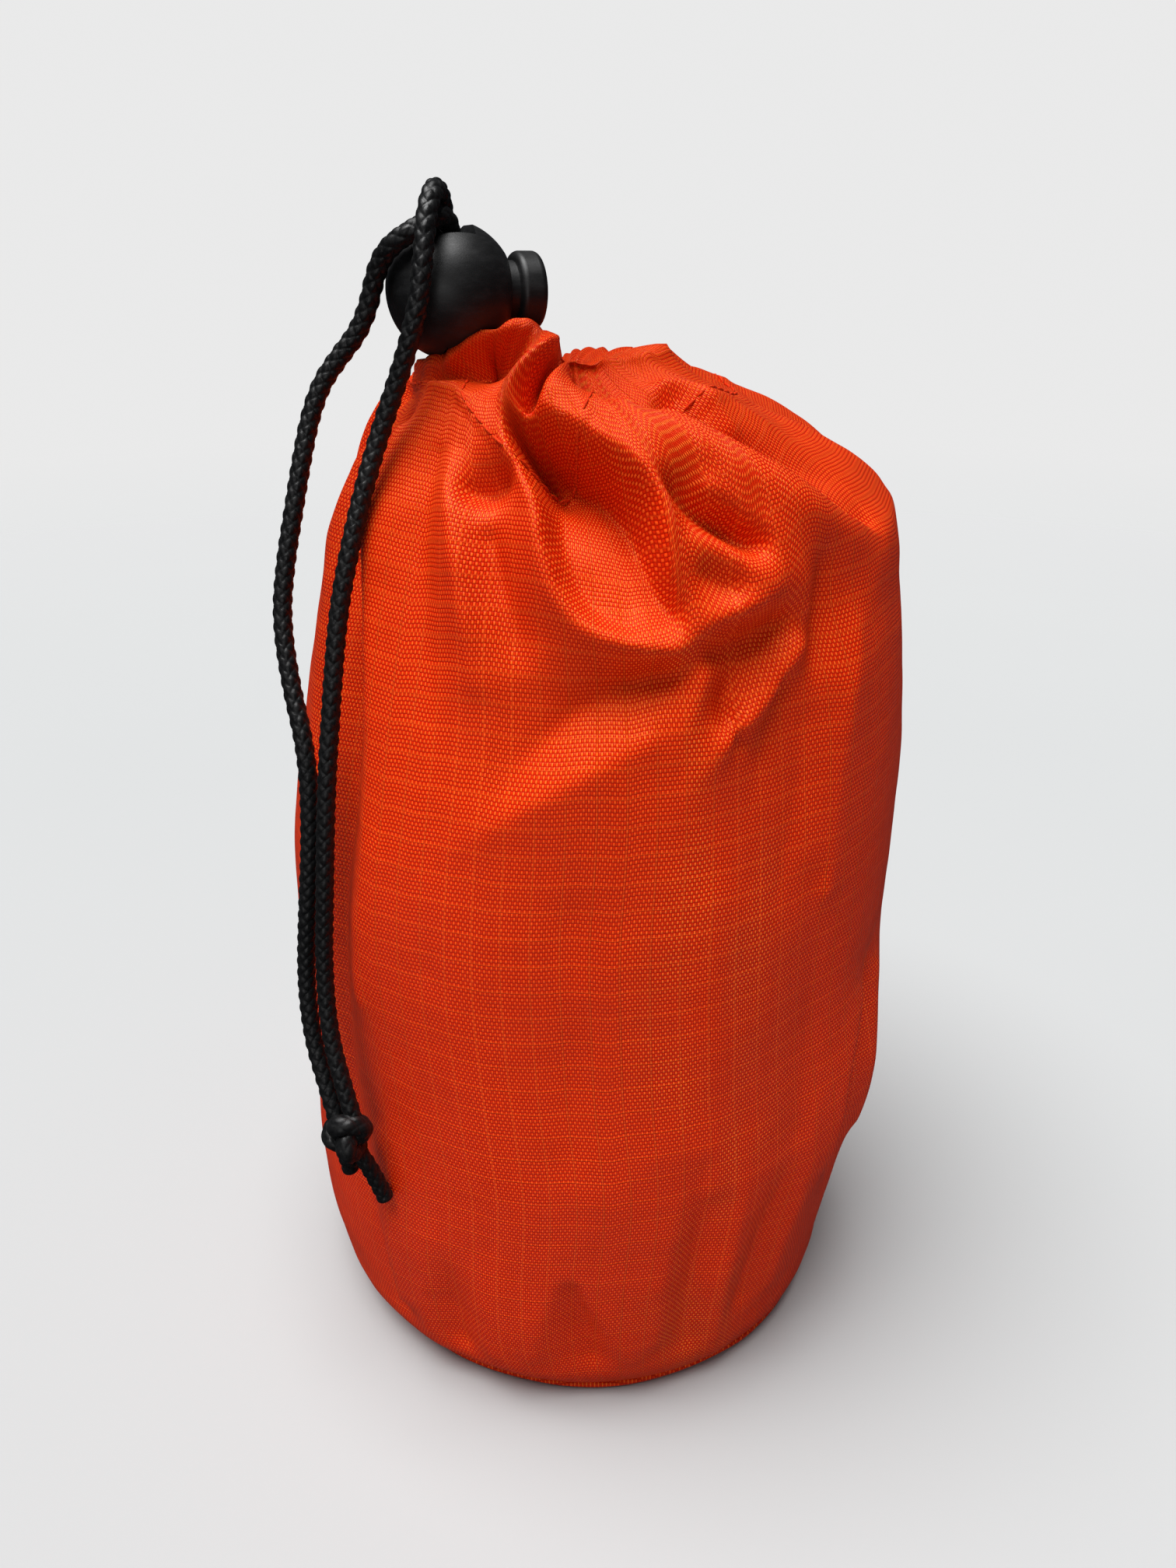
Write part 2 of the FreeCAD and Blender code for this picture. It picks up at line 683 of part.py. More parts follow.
def make_plunger():
    """The button with its stem, cross slot for the strands and pocket for the spring."""
    plunger = doc.addObject("PartDesign::Body", "plunger_body")
    sketch = sketch_on(plunger, "plunger_profile", "XZ_Plane")
    end = "Sizes.button_start + Sizes.button_length"
    outline(
        sketch,
        [
            ("-Sizes.stem_end", "0"),
            (end, "0"),
            (end, "Sizes.button_radius"),
            ("Sizes.button_start", "Sizes.button_radius"),
            ("Sizes.button_start", "Sizes.stem_radius"),
            ("-Sizes.stem_end", "Sizes.stem_radius"),
        ],
    )
    turned = plunger.newObject("PartDesign::Revolution", "plunger_turned")
    turned.Profile = sketch
    turned.ReferenceAxis = (sketch, ["H_Axis"])
    plunger.Tip = turned
    doc.recompute()
    rims = [
        i + 1
        for i, edge in enumerate(turned.Shape.Edges)
        if edge.BoundBox.XLength < 0.01 and abs(edge.BoundBox.ZLength / 2 - size("button_radius")) < 0.01
    ]
    rounding = plunger.newObject("PartDesign::Fillet", "plunger_rounded")
    rounding.Base = (turned, [f"Edge{i}" for i in rims])
    bind(rounding, Radius="Sizes.button_rounding")
    plunger.Tip = rounding
    slot = bore_slot("plunger_slot")
    bind(slot, Length=f"2 * {BORE_HALF_LENGTH} + Sizes.press_travel + Sizes.stop_clearance")
    pocket_radius = "Sizes.spring_radius + Sizes.spring_wire / 2 + Sizes.spring_clearance"
    pocket = along_axis("plunger_pocket", pocket_radius, "-Sizes.stem_end", "Sizes.spring_pocket_depth")
    cut = boolean("Cut", "plunger", plunger, fused("plunger_tools", [slot, pocket]))
    named(on_lock(cut), "lock_plunger")


def make_spring():
    """The coil spring between the barrel's seat and the floor of the plunger's pocket."""
    wire, turns = size("spring_wire"), size("spring_turns")
    start = -size("spring_seat_end") + wire / 2
    floor = -size("stem_end") + size("spring_pocket_depth") - wire / 2
    pitch = (floor - start) / turns
    helix = Part.makeHelix(pitch, floor - start, size("spring_radius"))
    begin = Vector(size("spring_radius"), 0, 0)
    profile = Part.Wire([Part.Circle(begin, Vector(0, 1, 0), wire / 2).toShape()])
    coil = Part.Wire(helix.Edges).makePipeShell([profile], True, True)
    turn = Placement(Vector(start, 0, 0), Rotation(Vector(0, 1, 0), 90)).toMatrix()
    obj = doc.addObject("Part::Feature", "spring")
    obj.Shape = coil.transformed(turn, True)
    named(on_lock(obj), "lock_spring")


# ---- build, check and write ----

BUILT = [
    "front_panel",
    "back_panel",
    "base_panel",
    "base_seam_allowance",
    "left_seam_allowance",
    "right_seam_allowance",
    "hem_channel",
    "hem_stitching",
    "gap_bartack_front",
    "gap_bartack_back",
    "packed_contents",
    "drawcord",
    "front_bend",
    "left_bend",
    "front_strand",
    "left_strand",
    "cord_knot",
    "long_end",
    "short_end",
    "lock_barrel",
    "lock_plunger",
    "lock_spring",
]


def build():
    make_wall()
    make_base()
    make_allowances()
    make_load()
    make_hem()
    make_hem_thread()
    make_drawcord()
    make_strands()
    make_barrel()
    make_plunger()
    make_spring()
    doc.recompute()


def checked(label):
    """The one object with this label, with a sound shape."""
    obj = doc.getObjectsByLabel(label)[0]
    shape = obj.Shape
    if shape.isNull() or not shape.isValid() or not shape.Solids:
        raise ValueError(f"{label} has no sound solid")
    return obj


def write():
    for obj in doc.Objects:
        if "Invalid" in obj.State or "Error" in obj.State:
            raise ValueError(f"{obj.Name} ({obj.Label}) failed: {obj.State}")
    pieces = [checked(label) for label in BUILT]
    os.makedirs("parts", exist_ok=True)
    for piece in pieces:
        piece.Shape.exportStep(f"parts/{piece.Label}.step")
        print(f"{piece.Label}: solids {len(piece.Shape.Solids)}, volume {piece.Shape.Volume:.1f}")


build()
write()
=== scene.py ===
import math
import random

import bpy
import numpy as np
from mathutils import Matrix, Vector, noise


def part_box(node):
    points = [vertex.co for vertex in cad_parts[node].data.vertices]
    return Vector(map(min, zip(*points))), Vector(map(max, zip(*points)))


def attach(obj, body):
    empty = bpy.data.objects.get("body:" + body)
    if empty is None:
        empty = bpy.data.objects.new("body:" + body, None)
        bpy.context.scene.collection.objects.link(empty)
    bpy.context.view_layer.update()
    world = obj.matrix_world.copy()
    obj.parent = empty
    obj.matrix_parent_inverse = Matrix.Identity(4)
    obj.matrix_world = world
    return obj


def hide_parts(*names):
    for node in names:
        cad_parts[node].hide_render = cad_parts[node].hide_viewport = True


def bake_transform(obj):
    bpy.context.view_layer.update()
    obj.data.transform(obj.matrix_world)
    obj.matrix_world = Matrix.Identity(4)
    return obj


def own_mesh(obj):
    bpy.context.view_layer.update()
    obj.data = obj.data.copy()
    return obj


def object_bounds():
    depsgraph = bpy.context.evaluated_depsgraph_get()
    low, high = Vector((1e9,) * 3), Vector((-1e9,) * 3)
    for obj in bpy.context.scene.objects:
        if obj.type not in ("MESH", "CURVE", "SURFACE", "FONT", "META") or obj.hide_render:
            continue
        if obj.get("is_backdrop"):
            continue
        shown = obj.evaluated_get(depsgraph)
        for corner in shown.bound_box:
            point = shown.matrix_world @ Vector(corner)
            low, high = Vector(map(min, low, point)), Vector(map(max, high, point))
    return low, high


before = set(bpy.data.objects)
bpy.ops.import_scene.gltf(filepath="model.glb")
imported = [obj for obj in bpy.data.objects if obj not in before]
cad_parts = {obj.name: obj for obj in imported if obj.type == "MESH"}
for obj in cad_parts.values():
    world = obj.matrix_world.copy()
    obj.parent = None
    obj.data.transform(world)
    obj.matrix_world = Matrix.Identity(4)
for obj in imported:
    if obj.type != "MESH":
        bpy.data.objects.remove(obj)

CAD_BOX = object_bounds()
MM = 0.001
SEED = 7

# ---- camera ----

CAMERA_PLACE = (0.0, -0.201, 0.189)
CAMERA_PITCH = math.radians(23.5)
CAMERA_LENS = 27.0
SENSOR_WIDTH = 36.0
NEAREST_SEEN = 5 * MM


def make_camera():
    """The camera stands close in front of the sack, a little above its mouth, and looks down at it."""
    camera = bpy.data.objects.new("camera", bpy.data.cameras.new("camera"))
    camera.location = CAMERA_PLACE
    camera.rotation_euler = (math.pi / 2 - CAMERA_PITCH, 0.0, 0.0)
    camera.data.lens = CAMERA_LENS
    camera.data.sensor_width = SENSOR_WIDTH
    camera.data.clip_start = NEAREST_SEEN
    bpy.context.collection.objects.link(camera)
    bpy.context.scene.camera = camera


# ---- meshes ----


def mesh_piece(name, points, faces, material, body="sack", cloth_places=None):
    """A smooth mesh that rides on a body; cloth_places holds each point's place on the flat cloth."""
    mesh = bpy.data.meshes.new(name)
    mesh.from_pydata([tuple(p) for p in points], [], [tuple(int(i) for i in face) for face in faces])
    mesh.polygons.foreach_set("use_smooth", [True] * len(mesh.polygons))
    if cloth_places is not None:
        corners = np.empty(len(mesh.loops), dtype=np.int32)
        mesh.loops.foreach_get("vertex_index", corners)
        layer = mesh.uv_layers.new(name="cloth")
        layer.data.foreach_set("uv", np.asarray(cloth_places)[corners].astype(np.float32).ravel())
    mesh.materials.append(material)
    mesh.update()
    piece = bpy.data.objects.new(name, mesh)
    bpy.context.collection.objects.link(piece)
    if body:
        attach(piece, body)
    return piece


def grid_faces(rows, columns, closed=False, first=0):
    """The quads between the rows of a grid of points; closed joins the last column to the first."""
    across = np.arange(columns if closed else columns - 1)
    up = np.arange(rows - 1)
    i, j = np.meshgrid(up, across, indexing="ij")
    beside = (j + 1) % columns
    low = first + i * columns
    high = low + columns
    return np.stack([low + j, low + beside, high + beside, high + j], axis=-1).reshape(-1, 4)


def fan_faces(ring, centre, turned=False):
    """The triangles from the points of a ring to one centre point."""
    around = [*ring[1:], ring[0]]
    pairs = zip(around, ring) if turned else zip(ring, around)
    return [(a, b, centre) for a, b in pairs]


def capped_faces(rows, around):
    """The faces of a closed tube of points, whose two end centres follow its last row."""
    count = rows * around
    start = fan_faces(range(around), count, turned=True)
    end = fan_faces(range(count - around, count), count + 1)
    return [*grid_faces(rows, around, closed=True), *start, *end]


def run_along(line):
    """How far along a line each of its points lies."""
    return np.concatenate([[0.0], np.cumsum(np.linalg.norm(np.diff(line, axis=0), axis=1))])


def points_at(distance, run, line):
    """The points of a line that lie some distance along it."""
    return np.stack([np.interp(distance, run, line[:, axis]) for axis in range(3)], axis=-1)


def ring_out(sides, tops, angles):
    """The outward directions of a tube round each point of its line."""
    return sides[:, None] * np.cos(angles)[None, :, None] + tops[:, None] * np.sin(angles)[None, :, None]


def smoothstep(low, high, value):
    share = np.clip((value - low) / (high - low), 0.0, 1.0)
    return share * share * (3.0 - 2.0 * share)


# ---- shader nodes ----


class Shader:
    """A material or world under construction: each method adds a node and gives back its output."""

    def __init__(self, name, kind="materials"):
        self.made = getattr(bpy.data, kind).new(name)
        self.made.use_nodes = True
        self.tree = self.made.node_tree

    def node(self, kind, inputs=(), **settings):
        made = self.tree.nodes.new("ShaderNode" + kind)
        for setting, value in settings.items():
            setattr(made, setting, value)
        self.fill(made, dict(inputs))
        return made

    def fill(self, node, inputs):
        for socket, value in inputs.items():
            if isinstance(value, bpy.types.NodeSocket):
                self.tree.links.new(value, node.inputs[socket])
            else:
                node.inputs[socket].default_value = value

    def math(self, operation, *values, **settings):
        return self.node("Math", enumerate(values), operation=operation, **settings).outputs[0]

    def place(self):
        return self.node("TexCoord").outputs["Object"]

    def scaled(self, place, scale):
        return self.node("Mapping", {"Vector": place, "Scale": scale}).outputs[0]

    def noise(self, place, scale, detail=3.0, roughness=0.5):
        inputs = {"Vector": place, "Scale": scale, "Detail": detail, "Roughness": roughness}
        return self.node("TexNoise", inputs).outputs["Fac"]

    def spread(self, value, low, high, new_low=0.0, new_high=1.0):
        return self.node("MapRange", enumerate((value, low, high, new_low, new_high))).outputs[0]

    def mixed(self, share, first, second):
        return self.node("Mix", {0: share, 6: first, 7: second}, data_type="RGBA").outputs[2]

    def bump(self, height, distance, strength, **under):
        inputs = {"Height": height, "Distance": distance, "Strength": strength, **under}
        return self.node("Bump", inputs).outputs[0]

    def finish(self, **sockets):
        inputs = {name.replace("_", " "): value for name, value in sockets.items()}
        self.fill(self.tree.nodes["Principled BSDF"], inputs)
        return self.made


# ---- materials ----

WARP_PITCH = 0.37 * MM
WEFT_PITCH = 0.63 * MM
RIPSTOP_PITCH = 4.4 * MM
# An upright streak of painted glints on the front: where it lies along the cloth and how wide it reaches
GLINT_STREAK_PLACE = 281 * MM
GLINT_STREAK_REACH = 17 * MM
ORANGE_DEEP = (0.38, 0.005, 0.0005, 1.0)
ORANGE = (0.97, 0.032, 0.001, 1.0)
ORANGE_LIGHT = (1.0, 0.180, 0.020, 1.0)
ORANGE_GLOSS = (1.0, 0.32, 0.10, 1.0)
THREAD_COLOURS = (0.30, 0.008, 0.001, 1.0), (0.80, 0.045, 0.006, 1.0)
CORD_COLOURS = (0.0010, 0.0010, 0.0011, 1.0), (0.007, 0.007, 0.0075, 1.0)
PLASTIC_COLOURS = (0.004, 0.004, 0.0042, 1.0), (0.009, 0.009, 0.0095, 1.0)
STEEL_COLOURS = (0.36, 0.36, 0.37, 1.0), (0.62, 0.62, 0.63, 1.0)
PACKING_COLOURS = (0.05, 0.05, 0.06, 1.0), (0.14, 0.14, 0.15, 1.0)
WARP_ROUNDING = 0.6
WEFT_ROUNDING = 0.8
WEFT_HEIGHT = 0.45
RIPSTOP_SHARPNESS = 26.0
RIPSTOP_SHARE = 0.20
# The painted highlight that the yarn tops get everywhere
DULL_SHARE = 0.42
YARN_DRIFT = 1.6 * MM


def weave(shader, along, up):
    """The height of a plain weave: each yarn rises where it passes over the one that it crosses."""
    across_warp = shader.math("SINE", shader.math("MULTIPLY", along, math.pi / WARP_PITCH))
    across_weft = shader.math("SINE", shader.math("MULTIPLY", up, math.pi / WEFT_PITCH))
    crossing = shader.math("MULTIPLY", across_warp, across_weft)
    warp_over = shader.math("POWER", shader.math("MAXIMUM", crossing, 0.0), WARP_ROUNDING)
    weft_side = shader.math("MAXIMUM", shader.math("MULTIPLY", crossing, -1.0), 0.0)
    weft_over = shader.math("MULTIPLY", shader.math("POWER", weft_side, WEFT_ROUNDING), WEFT_HEIGHT)
    return shader.math("ADD", warp_over, weft_over), warp_over


def ripstop_lines(shader, distance):
    """A fine line that repeats along one way of the cloth, where a doubled yarn runs."""
    turns = shader.math("DIVIDE", distance, RIPSTOP_PITCH)
    off_line = shader.math("ABSOLUTE", shader.math("SUBTRACT", shader.math("FRACT", turns), 0.5))
    return shader.math("SUBTRACT", 1.0, shader.math("MULTIPLY", off_line, RIPSTOP_SHARPNESS), use_clamp=True)


def painted_sheen_share(shader, along, solid):
    """How much painted highlight the warp yarns' tops get: most on cloth that faces up, toward the overhead
    lamp, and in an upright streak of painted glints on the front.
    """
    facing = shader.node("NewGeometry").outputs["Normal"]
    upward = shader.node("SeparateXYZ", {0: facing}).outputs[2]
    # painted highlight, stronger on cloth that faces up toward the overhead lamp
    share = shader.spread(upward, 0.0, 0.6, DULL_SHARE, 1.0)
    off_streak = shader.math("ABSOLUTE", shader.math("SUBTRACT", along, GLINT_STREAK_PLACE))
    streak = shader.spread(off_streak, GLINT_STREAK_REACH * 0.3, GLINT_STREAK_REACH, 1.0, 0.0)
    broken = shader.noise(shader.scaled(solid, (1.0, 1.0, 0.3)), 120.0, 2.0)
    # painted glints, broken up along the streak
    painted_streak = shader.math("MULTIPLY", streak, shader.spread(broken, 0.42, 0.62, 0.0, 0.6))
    return shader.math("MAXIMUM", share, shader.math("ADD", painted_streak, DULL_SHARE))


def make_cloth():
    """Fluorescent orange-red oxford nylon: a plain weave with painted shade between its yarns, fine doubled
    yarns, a painted sheen of glints on the yarn tops, and uneven yarns.
    """
    shader = Shader("orange_oxford_nylon")
    place = shader.node("UVMap", uv_map="cloth").outputs[0]
    solid = shader.place()
    wander = shader.node("TexNoise", {"Vector": solid, "Scale": 22.0, "Detail": 1.0})
    wandering = {0: wander.outputs["Color"], "Scale": YARN_DRIFT}
    drift = shader.node("VectorMath", wandering, operation="SCALE")
    drifted = shader.node("VectorMath", {0: place, 1: drift.outputs[0]}, operation="ADD").outputs[0]
    axes = shader.node("SeparateXYZ", {0: drifted})
    along, up = axes.outputs[0], axes.outputs[1]
    height, warp_over = weave(shader, along, up)
    ripstop = shader.math("MAXIMUM", ripstop_lines(shader, along), ripstop_lines(shader, up))
    weft_yarns = shader.noise(shader.scaled(place, (90.0, 1500.0, 1.0)), 1.0, 2.0)
    warp_yarns = shader.noise(shader.scaled(place, (2400.0, 70.0, 1.0)), 1.0, 2.0)
    yarns = shader.math("ADD", weft_yarns, warp_yarns)
    patches = shader.noise(solid, 38.0, 4.0)
    # painted shade: the weave's low places, between the yarns, are darkened towards ORANGE_DEEP
    colour = shader.mixed(shader.spread(height, 0.0, 0.7), ORANGE_DEEP, ORANGE)
    # painted highlight: the warp yarns' tops are lightened towards ORANGE_LIGHT
    yarn_tops = shader.spread(warp_over, 0.45, 0.85)
    painted_glints = shader.math("MULTIPLY", yarn_tops, painted_sheen_share(shader, along, solid))
    colour = shader.mixed(painted_glints, colour, ORANGE_LIGHT)
    colour = shader.mixed(shader.math("MULTIPLY", ripstop, RIPSTOP_SHARE), colour, ORANGE_LIGHT)
    colour = shader.mixed(shader.spread(yarns, 0.7, 1.3, 0.0, 0.22), colour, ORANGE_DEEP)
    colour = shader.mixed(shader.spread(patches, 0.35, 0.7, 0.0, 0.20), colour, ORANGE_DEEP)
    relief = shader.math("ADD", height, shader.math("MULTIPLY", ripstop, 0.5))
    relief = shader.math("ADD", relief, shader.math("MULTIPLY", yarns, 0.5))
    rumple = shader.noise(solid, 260.0, 4.0, 0.6)
    normal = shader.bump(rumple, 0.35 * MM, 0.35)
    normal = shader.bump(relief, 0.10 * MM, 1.0, Normal=normal)
    return shader.finish(
        Base_Color=colour,
        Roughness=shader.spread(patches, 0.3, 0.7, 0.30, 0.42),
        Normal=normal,
        Specular_IOR_Level=0.5,
        Specular_Tint=ORANGE_GLOSS,
    )


def make_thread():
    """Twisted polyester sewing thread, dyed to match the cloth."""
    shader = Shader("orange_thread")
    twist = shader.noise(shader.place(), 5200.0, 2.0)
    return shader.finish(
        Base_Color=shader.mixed(shader.spread(twist, 0.3, 0.7), *THREAD_COLOURS),
        Roughness=0.6,
        Normal=shader.bump(twist, 0.06 * MM, 0.8),
        Specular_IOR_Level=0.25,
        Specular_Tint=ORANGE_GLOSS,
    )


def make_cord_black():
    """Black polyester braid: fine filaments, with dull glints where the strands turn to the light."""
    shader = Shader("black_braid")
    solid = shader.place()
    filaments = shader.noise(shader.scaled(solid, (1.0, 1.0, 0.45)), 5200.0, 3.0, 0.6)
    fuzz = shader.noise(solid, 900.0, 2.0)
    return shader.finish(
        Base_Color=shader.mixed(shader.spread(filaments, 0.3, 0.75), *CORD_COLOURS),
        Roughness=shader.spread(fuzz, 0.3, 0.7, 0.30, 0.52),
        Normal=shader.bump(filaments, 0.05 * MM, 0.7),
        Specular_IOR_Level=0.30,
        Sheen_Weight=0.01,
    )


def make_plastic():
    """Black moulded plastic with a spark-eroded satin skin, scuffs and handling marks."""
    shader = Shader("satin_black_plastic")
    solid = shader.place()
    skin = shader.noise(solid, 3800.0, 2.0)
    scuffs = shader.noise(shader.scaled(solid, (1.0, 1.0, 3.0)), 240.0, 5.0, 0.65)
    return shader.finish(
        Base_Color=shader.mixed(shader.spread(scuffs, 0.5, 0.75), *PLASTIC_COLOURS),
        Roughness=shader.spread(scuffs, 0.3, 0.75, 0.40, 0.58),
        Normal=shader.bump(scuffs, 0.03 * MM, 0.5, Normal=shader.bump(skin, 0.02 * MM, 0.6)),
        Specular_IOR_Level=0.40,
    )


def make_steel():
    """Drawn spring wire with fine lengthwise marks."""
    shader = Shader("spring_steel")
    marks = shader.noise(shader.scaled(shader.place(), (1.0, 1.0, 6.0)), 1600.0, 3.0)
    return shader.finish(
        Base_Color=shader.mixed(marks, *STEEL_COLOURS),
        Metallic=1.0,
        Roughness=shader.spread(marks, 0.3, 0.7, 0.22, 0.40),
    )


def make_packing():
    """The dark folded fabric of what is packed."""
    shader = Shader("packed_fabric")
    folds = shader.noise(shader.place(), 70.0, 5.0, 0.6)
    return shader.finish(
        Base_Color=shader.mixed(folds, *PACKING_COLOURS),
        Roughness=0.8,
        Normal=shader.bump(folds, 2.0 * MM, 0.6),
        Sheen_Weight=0.1,
    )


CLOTH = make_cloth()
THREAD = make_thread()
CORD = make_cord_black()
PLASTIC = make_plastic()
STEEL = make_steel()
LOAD = make_packing()

# ---- cords ----

CORD_DIAMETER = 3.0 * MM

FRONT_ROUTE = [
    (-0.0206, -0.0131, 0.1915), (-0.0206, -0.0131, 0.1941), (-0.0206, -0.0141, 0.1968),
    (-0.0207, -0.0164, 0.1989), (-0.0210, -0.0191, 0.1998), (-0.0213, -0.0219, 0.1991),
    (-0.0218, -0.0238, 0.1969), (-0.0221, -0.0253, 0.1939), (-0.0226, -0.0263, 0.1894),
    (-0.0234, -0.0269, 0.1846), (-0.0252, -0.0265, 0.1792), (-0.0276, -0.0258, 0.1734),
    (-0.0302, -0.0263, 0.1670), (-0.0325, -0.0283, 0.1600), (-0.0348, -0.0304, 0.1518),
    (-0.0369, -0.0322, 0.1426), (-0.0384, -0.0348, 0.1300), (-0.0400, -0.0373, 0.1156),
    (-0.0413, -0.0385, 0.1000), (-0.0426, -0.0390, 0.0860), (-0.0423, -0.0408, 0.0750),
    (-0.0404, -0.0433, 0.0670), (-0.0388, -0.0446, 0.0608),
]

LEFT_ROUTE = [
    (-0.0194, -0.0159, 0.1915), (-0.0194, -0.0159, 0.1939), (-0.0198, -0.0174, 0.1960),
    (-0.0208, -0.0198, 0.1964), (-0.0226, -0.0213, 0.1952), (-0.0249, -0.0219, 0.1940),
    (-0.0273, -0.0211, 0.1926), (-0.0292, -0.0198, 0.1907), (-0.0305, -0.0189, 0.1879),
    (-0.0316, -0.0185, 0.1845), (-0.0334, -0.0184, 0.1810), (-0.0362, -0.0183, 0.1779),
    (-0.0392, -0.0186, 0.1742), (-0.0412, -0.0195, 0.1694), (-0.0427, -0.0212, 0.1632),
    (-0.0441, -0.0230, 0.1564), (-0.0457, -0.0246, 0.1490), (-0.0467, -0.0267, 0.1410),
    (-0.0455, -0.0301, 0.1318), (-0.0429, -0.0344, 0.1216), (-0.0431, -0.0363, 0.1095),
    (-0.0447, -0.0372, 0.0960), (-0.0461, -0.0375, 0.0835), (-0.0456, -0.0394, 0.0735),
    (-0.0434, -0.0422, 0.0660), (-0.0419, -0.0439, 0.0606),
]

LONG_END = [
    (-0.0392, -0.0446, 0.0553), (-0.0379, -0.0447, 0.0527), (-0.0367, -0.0443, 0.0494),
    (-0.0353, -0.0441, 0.0452), (-0.0346, -0.0442, 0.0429),
]

SHORT_END = [
    (-0.0406, -0.0438, 0.0546), (-0.0411, -0.0430, 0.0522), (-0.0409, -0.0424, 0.0496),
    (-0.0406, -0.0422, 0.0474),
]

STRANDS_EACH_WAY = 4
STRAND_SPACING = 2.1 * MM
STRAND_RELIEF = 0.24 * MM
STRAND_ROUNDING, STRAND_LOW, STRAND_ARCH, ARCH_ROUNDING = 2.4, 0.35, 0.65, 0.8
SPLINE_RESOLUTION = 16
POINTS_AROUND = 64
CORD_STEP = 0.16 * MM
MELTED_LENGTH = 1.6 * MM
MELTED_FULLY = 0.6 * MM
MELTED_RADIUS = 0.97
END_ROUNDING = 0.8 * MM


def spline_line(route):
    """The points along the smooth NURBS line of a route."""
    curve = bpy.data.curves.new("route", "CURVE")
    curve.dimensions = "3D"
    spline = curve.splines.new("NURBS")
    spline.points.add(len(route) - 1)
    for point, place in zip(spline.points, route):
        point.co = (*place, 1.0)
    spline.order_u = 3
    spline.use_endpoint_u = True
    spline.resolution_u = SPLINE_RESOLUTION
    carrier = bpy.data.objects.new("route", curve)
    line = bpy.data.meshes.new_from_object(carrier)
    points = np.array([vertex.co[:] for vertex in line.vertices])
    bpy.data.objects.remove(carrier)
    bpy.data.curves.remove(curve)
    bpy.data.meshes.remove(line)
    return points


def even_steps(points):
    """The same line as points at equal distances."""
    run = run_along(points)
    places = np.linspace(0.0, run[-1], int(round(run[-1] / CORD_STEP)) + 1)
    return points_at(places, run, points), places


def frames_along(points):
    """Two crosswise directions at each point of a line, carried along it without twist."""
    ways = np.gradient(points, axis=0)
    ways /= np.linalg.norm(ways, axis=1)[:, None]
    side = np.cross(ways[0], (0.31, 0.87, 0.38))
    sides = []
    for way in ways:
        side = side - way * np.dot(side, way)
        side = side / np.linalg.norm(side)
        sides.append(side)
    sides = np.array(sides)
    return sides, np.cross(ways, sides)


def braid_relief(turn, along):
    """How high the strands of a round braid stand, from 0 between them to 1 on top."""
    right = STRANDS_EACH_WAY * turn + along / STRAND_SPACING
    left = STRANDS_EACH_WAY * turn - along / STRAND_SPACING
    right_over = (np.floor(right) + np.floor(left)) % 2 < 0.5
    across = np.where(right_over, right, left) % 1.0
    lengthwise = np.where(right_over, left, right) % 1.0
    rounded = 1.0 - np.abs(2.0 * across - 1.0) ** STRAND_ROUNDING
    return rounded * (STRAND_LOW + STRAND_ARCH * np.sin(np.pi * lengthwise) ** ARCH_ROUNDING)


def melted_end(reach, left, radius):
    """A braid's reach from its line, where heat has melted its last stretch into a smooth rounded end."""
    melted = smoothstep(MELTED_LENGTH, MELTED_FULLY, left)[:, None]
    short_of_end = 1.0 - np.clip(left / END_ROUNDING, 0, 1)
    rounded_end = np.sqrt(np.clip(1.0 - short_of_end**2, 0.05, 1.0))[:, None]
    return (reach * (1 - melted) + radius * MELTED_RADIUS * melted) * rounded_end


def braided_tube(name, line, body, radius=CORD_DIAMETER / 2, sealed=False):
    """A round braided cord along a line of points, with its two ends closed."""
    points, places = even_steps(line)
    sides, tops = frames_along(points)
    turns = np.arange(POINTS_AROUND) / POINTS_AROUND
    relief = braid_relief(turns[None, :], places[:, None])
    reach = radius - STRAND_RELIEF * (1.0 - relief)
    if sealed:
        reach = melted_end(reach, places[-1] - places, radius)
    out = ring_out(sides, tops, 2.0 * np.pi * turns)
    shell = (points[:, None, :] + out * reach[:, :, None]).reshape(-1, 3)
    faces = capped_faces(len(points), POINTS_AROUND)
    piece = mesh_piece(name, np.vstack([shell, points[[0, -1]]]), faces, CORD, body)
    return piece


KNOT_REACH = 3.0 * MM
KNOT_STRAND = 1.85 * MM
KNOT_DEPTH = 0.55
KNOT_STRETCH = 1.08
KNOT_TILT = math.radians(28)
KNOT_SIDEWAYS = np.array([0.72, -0.69, 0.0])
KNOT_OUTWARD = np.array([-0.69, -0.72, 0.0])
KNOT_POINTS = 240


def knot_line():
    """The closed line of a tight overhand knot."""
    low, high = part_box("cord_knot")
    centre = (np.array(low) + np.array(high)) / 2
    turn = np.linspace(0.0, 2.0 * np.pi, KNOT_POINTS)
    across = (np.sin(turn) + 2.0 * np.sin(2.0 * turn)) / 3.0
    up = (np.cos(turn) - 2.0 * np.cos(2.0 * turn)) / 3.0
    deep = -np.sin(3.0 * turn) * KNOT_DEPTH
    turned_across = across * math.cos(KNOT_TILT) - up * math.sin(KNOT_TILT)
    turned_up = across * math.sin(KNOT_TILT) + up * math.cos(KNOT_TILT)
    line = KNOT_SIDEWAYS * turned_across[:, None] + KNOT_OUTWARD * deep[:, None]
    line[:, 2] += turned_up * KNOT_STRETCH
    return centre + line * KNOT_REACH


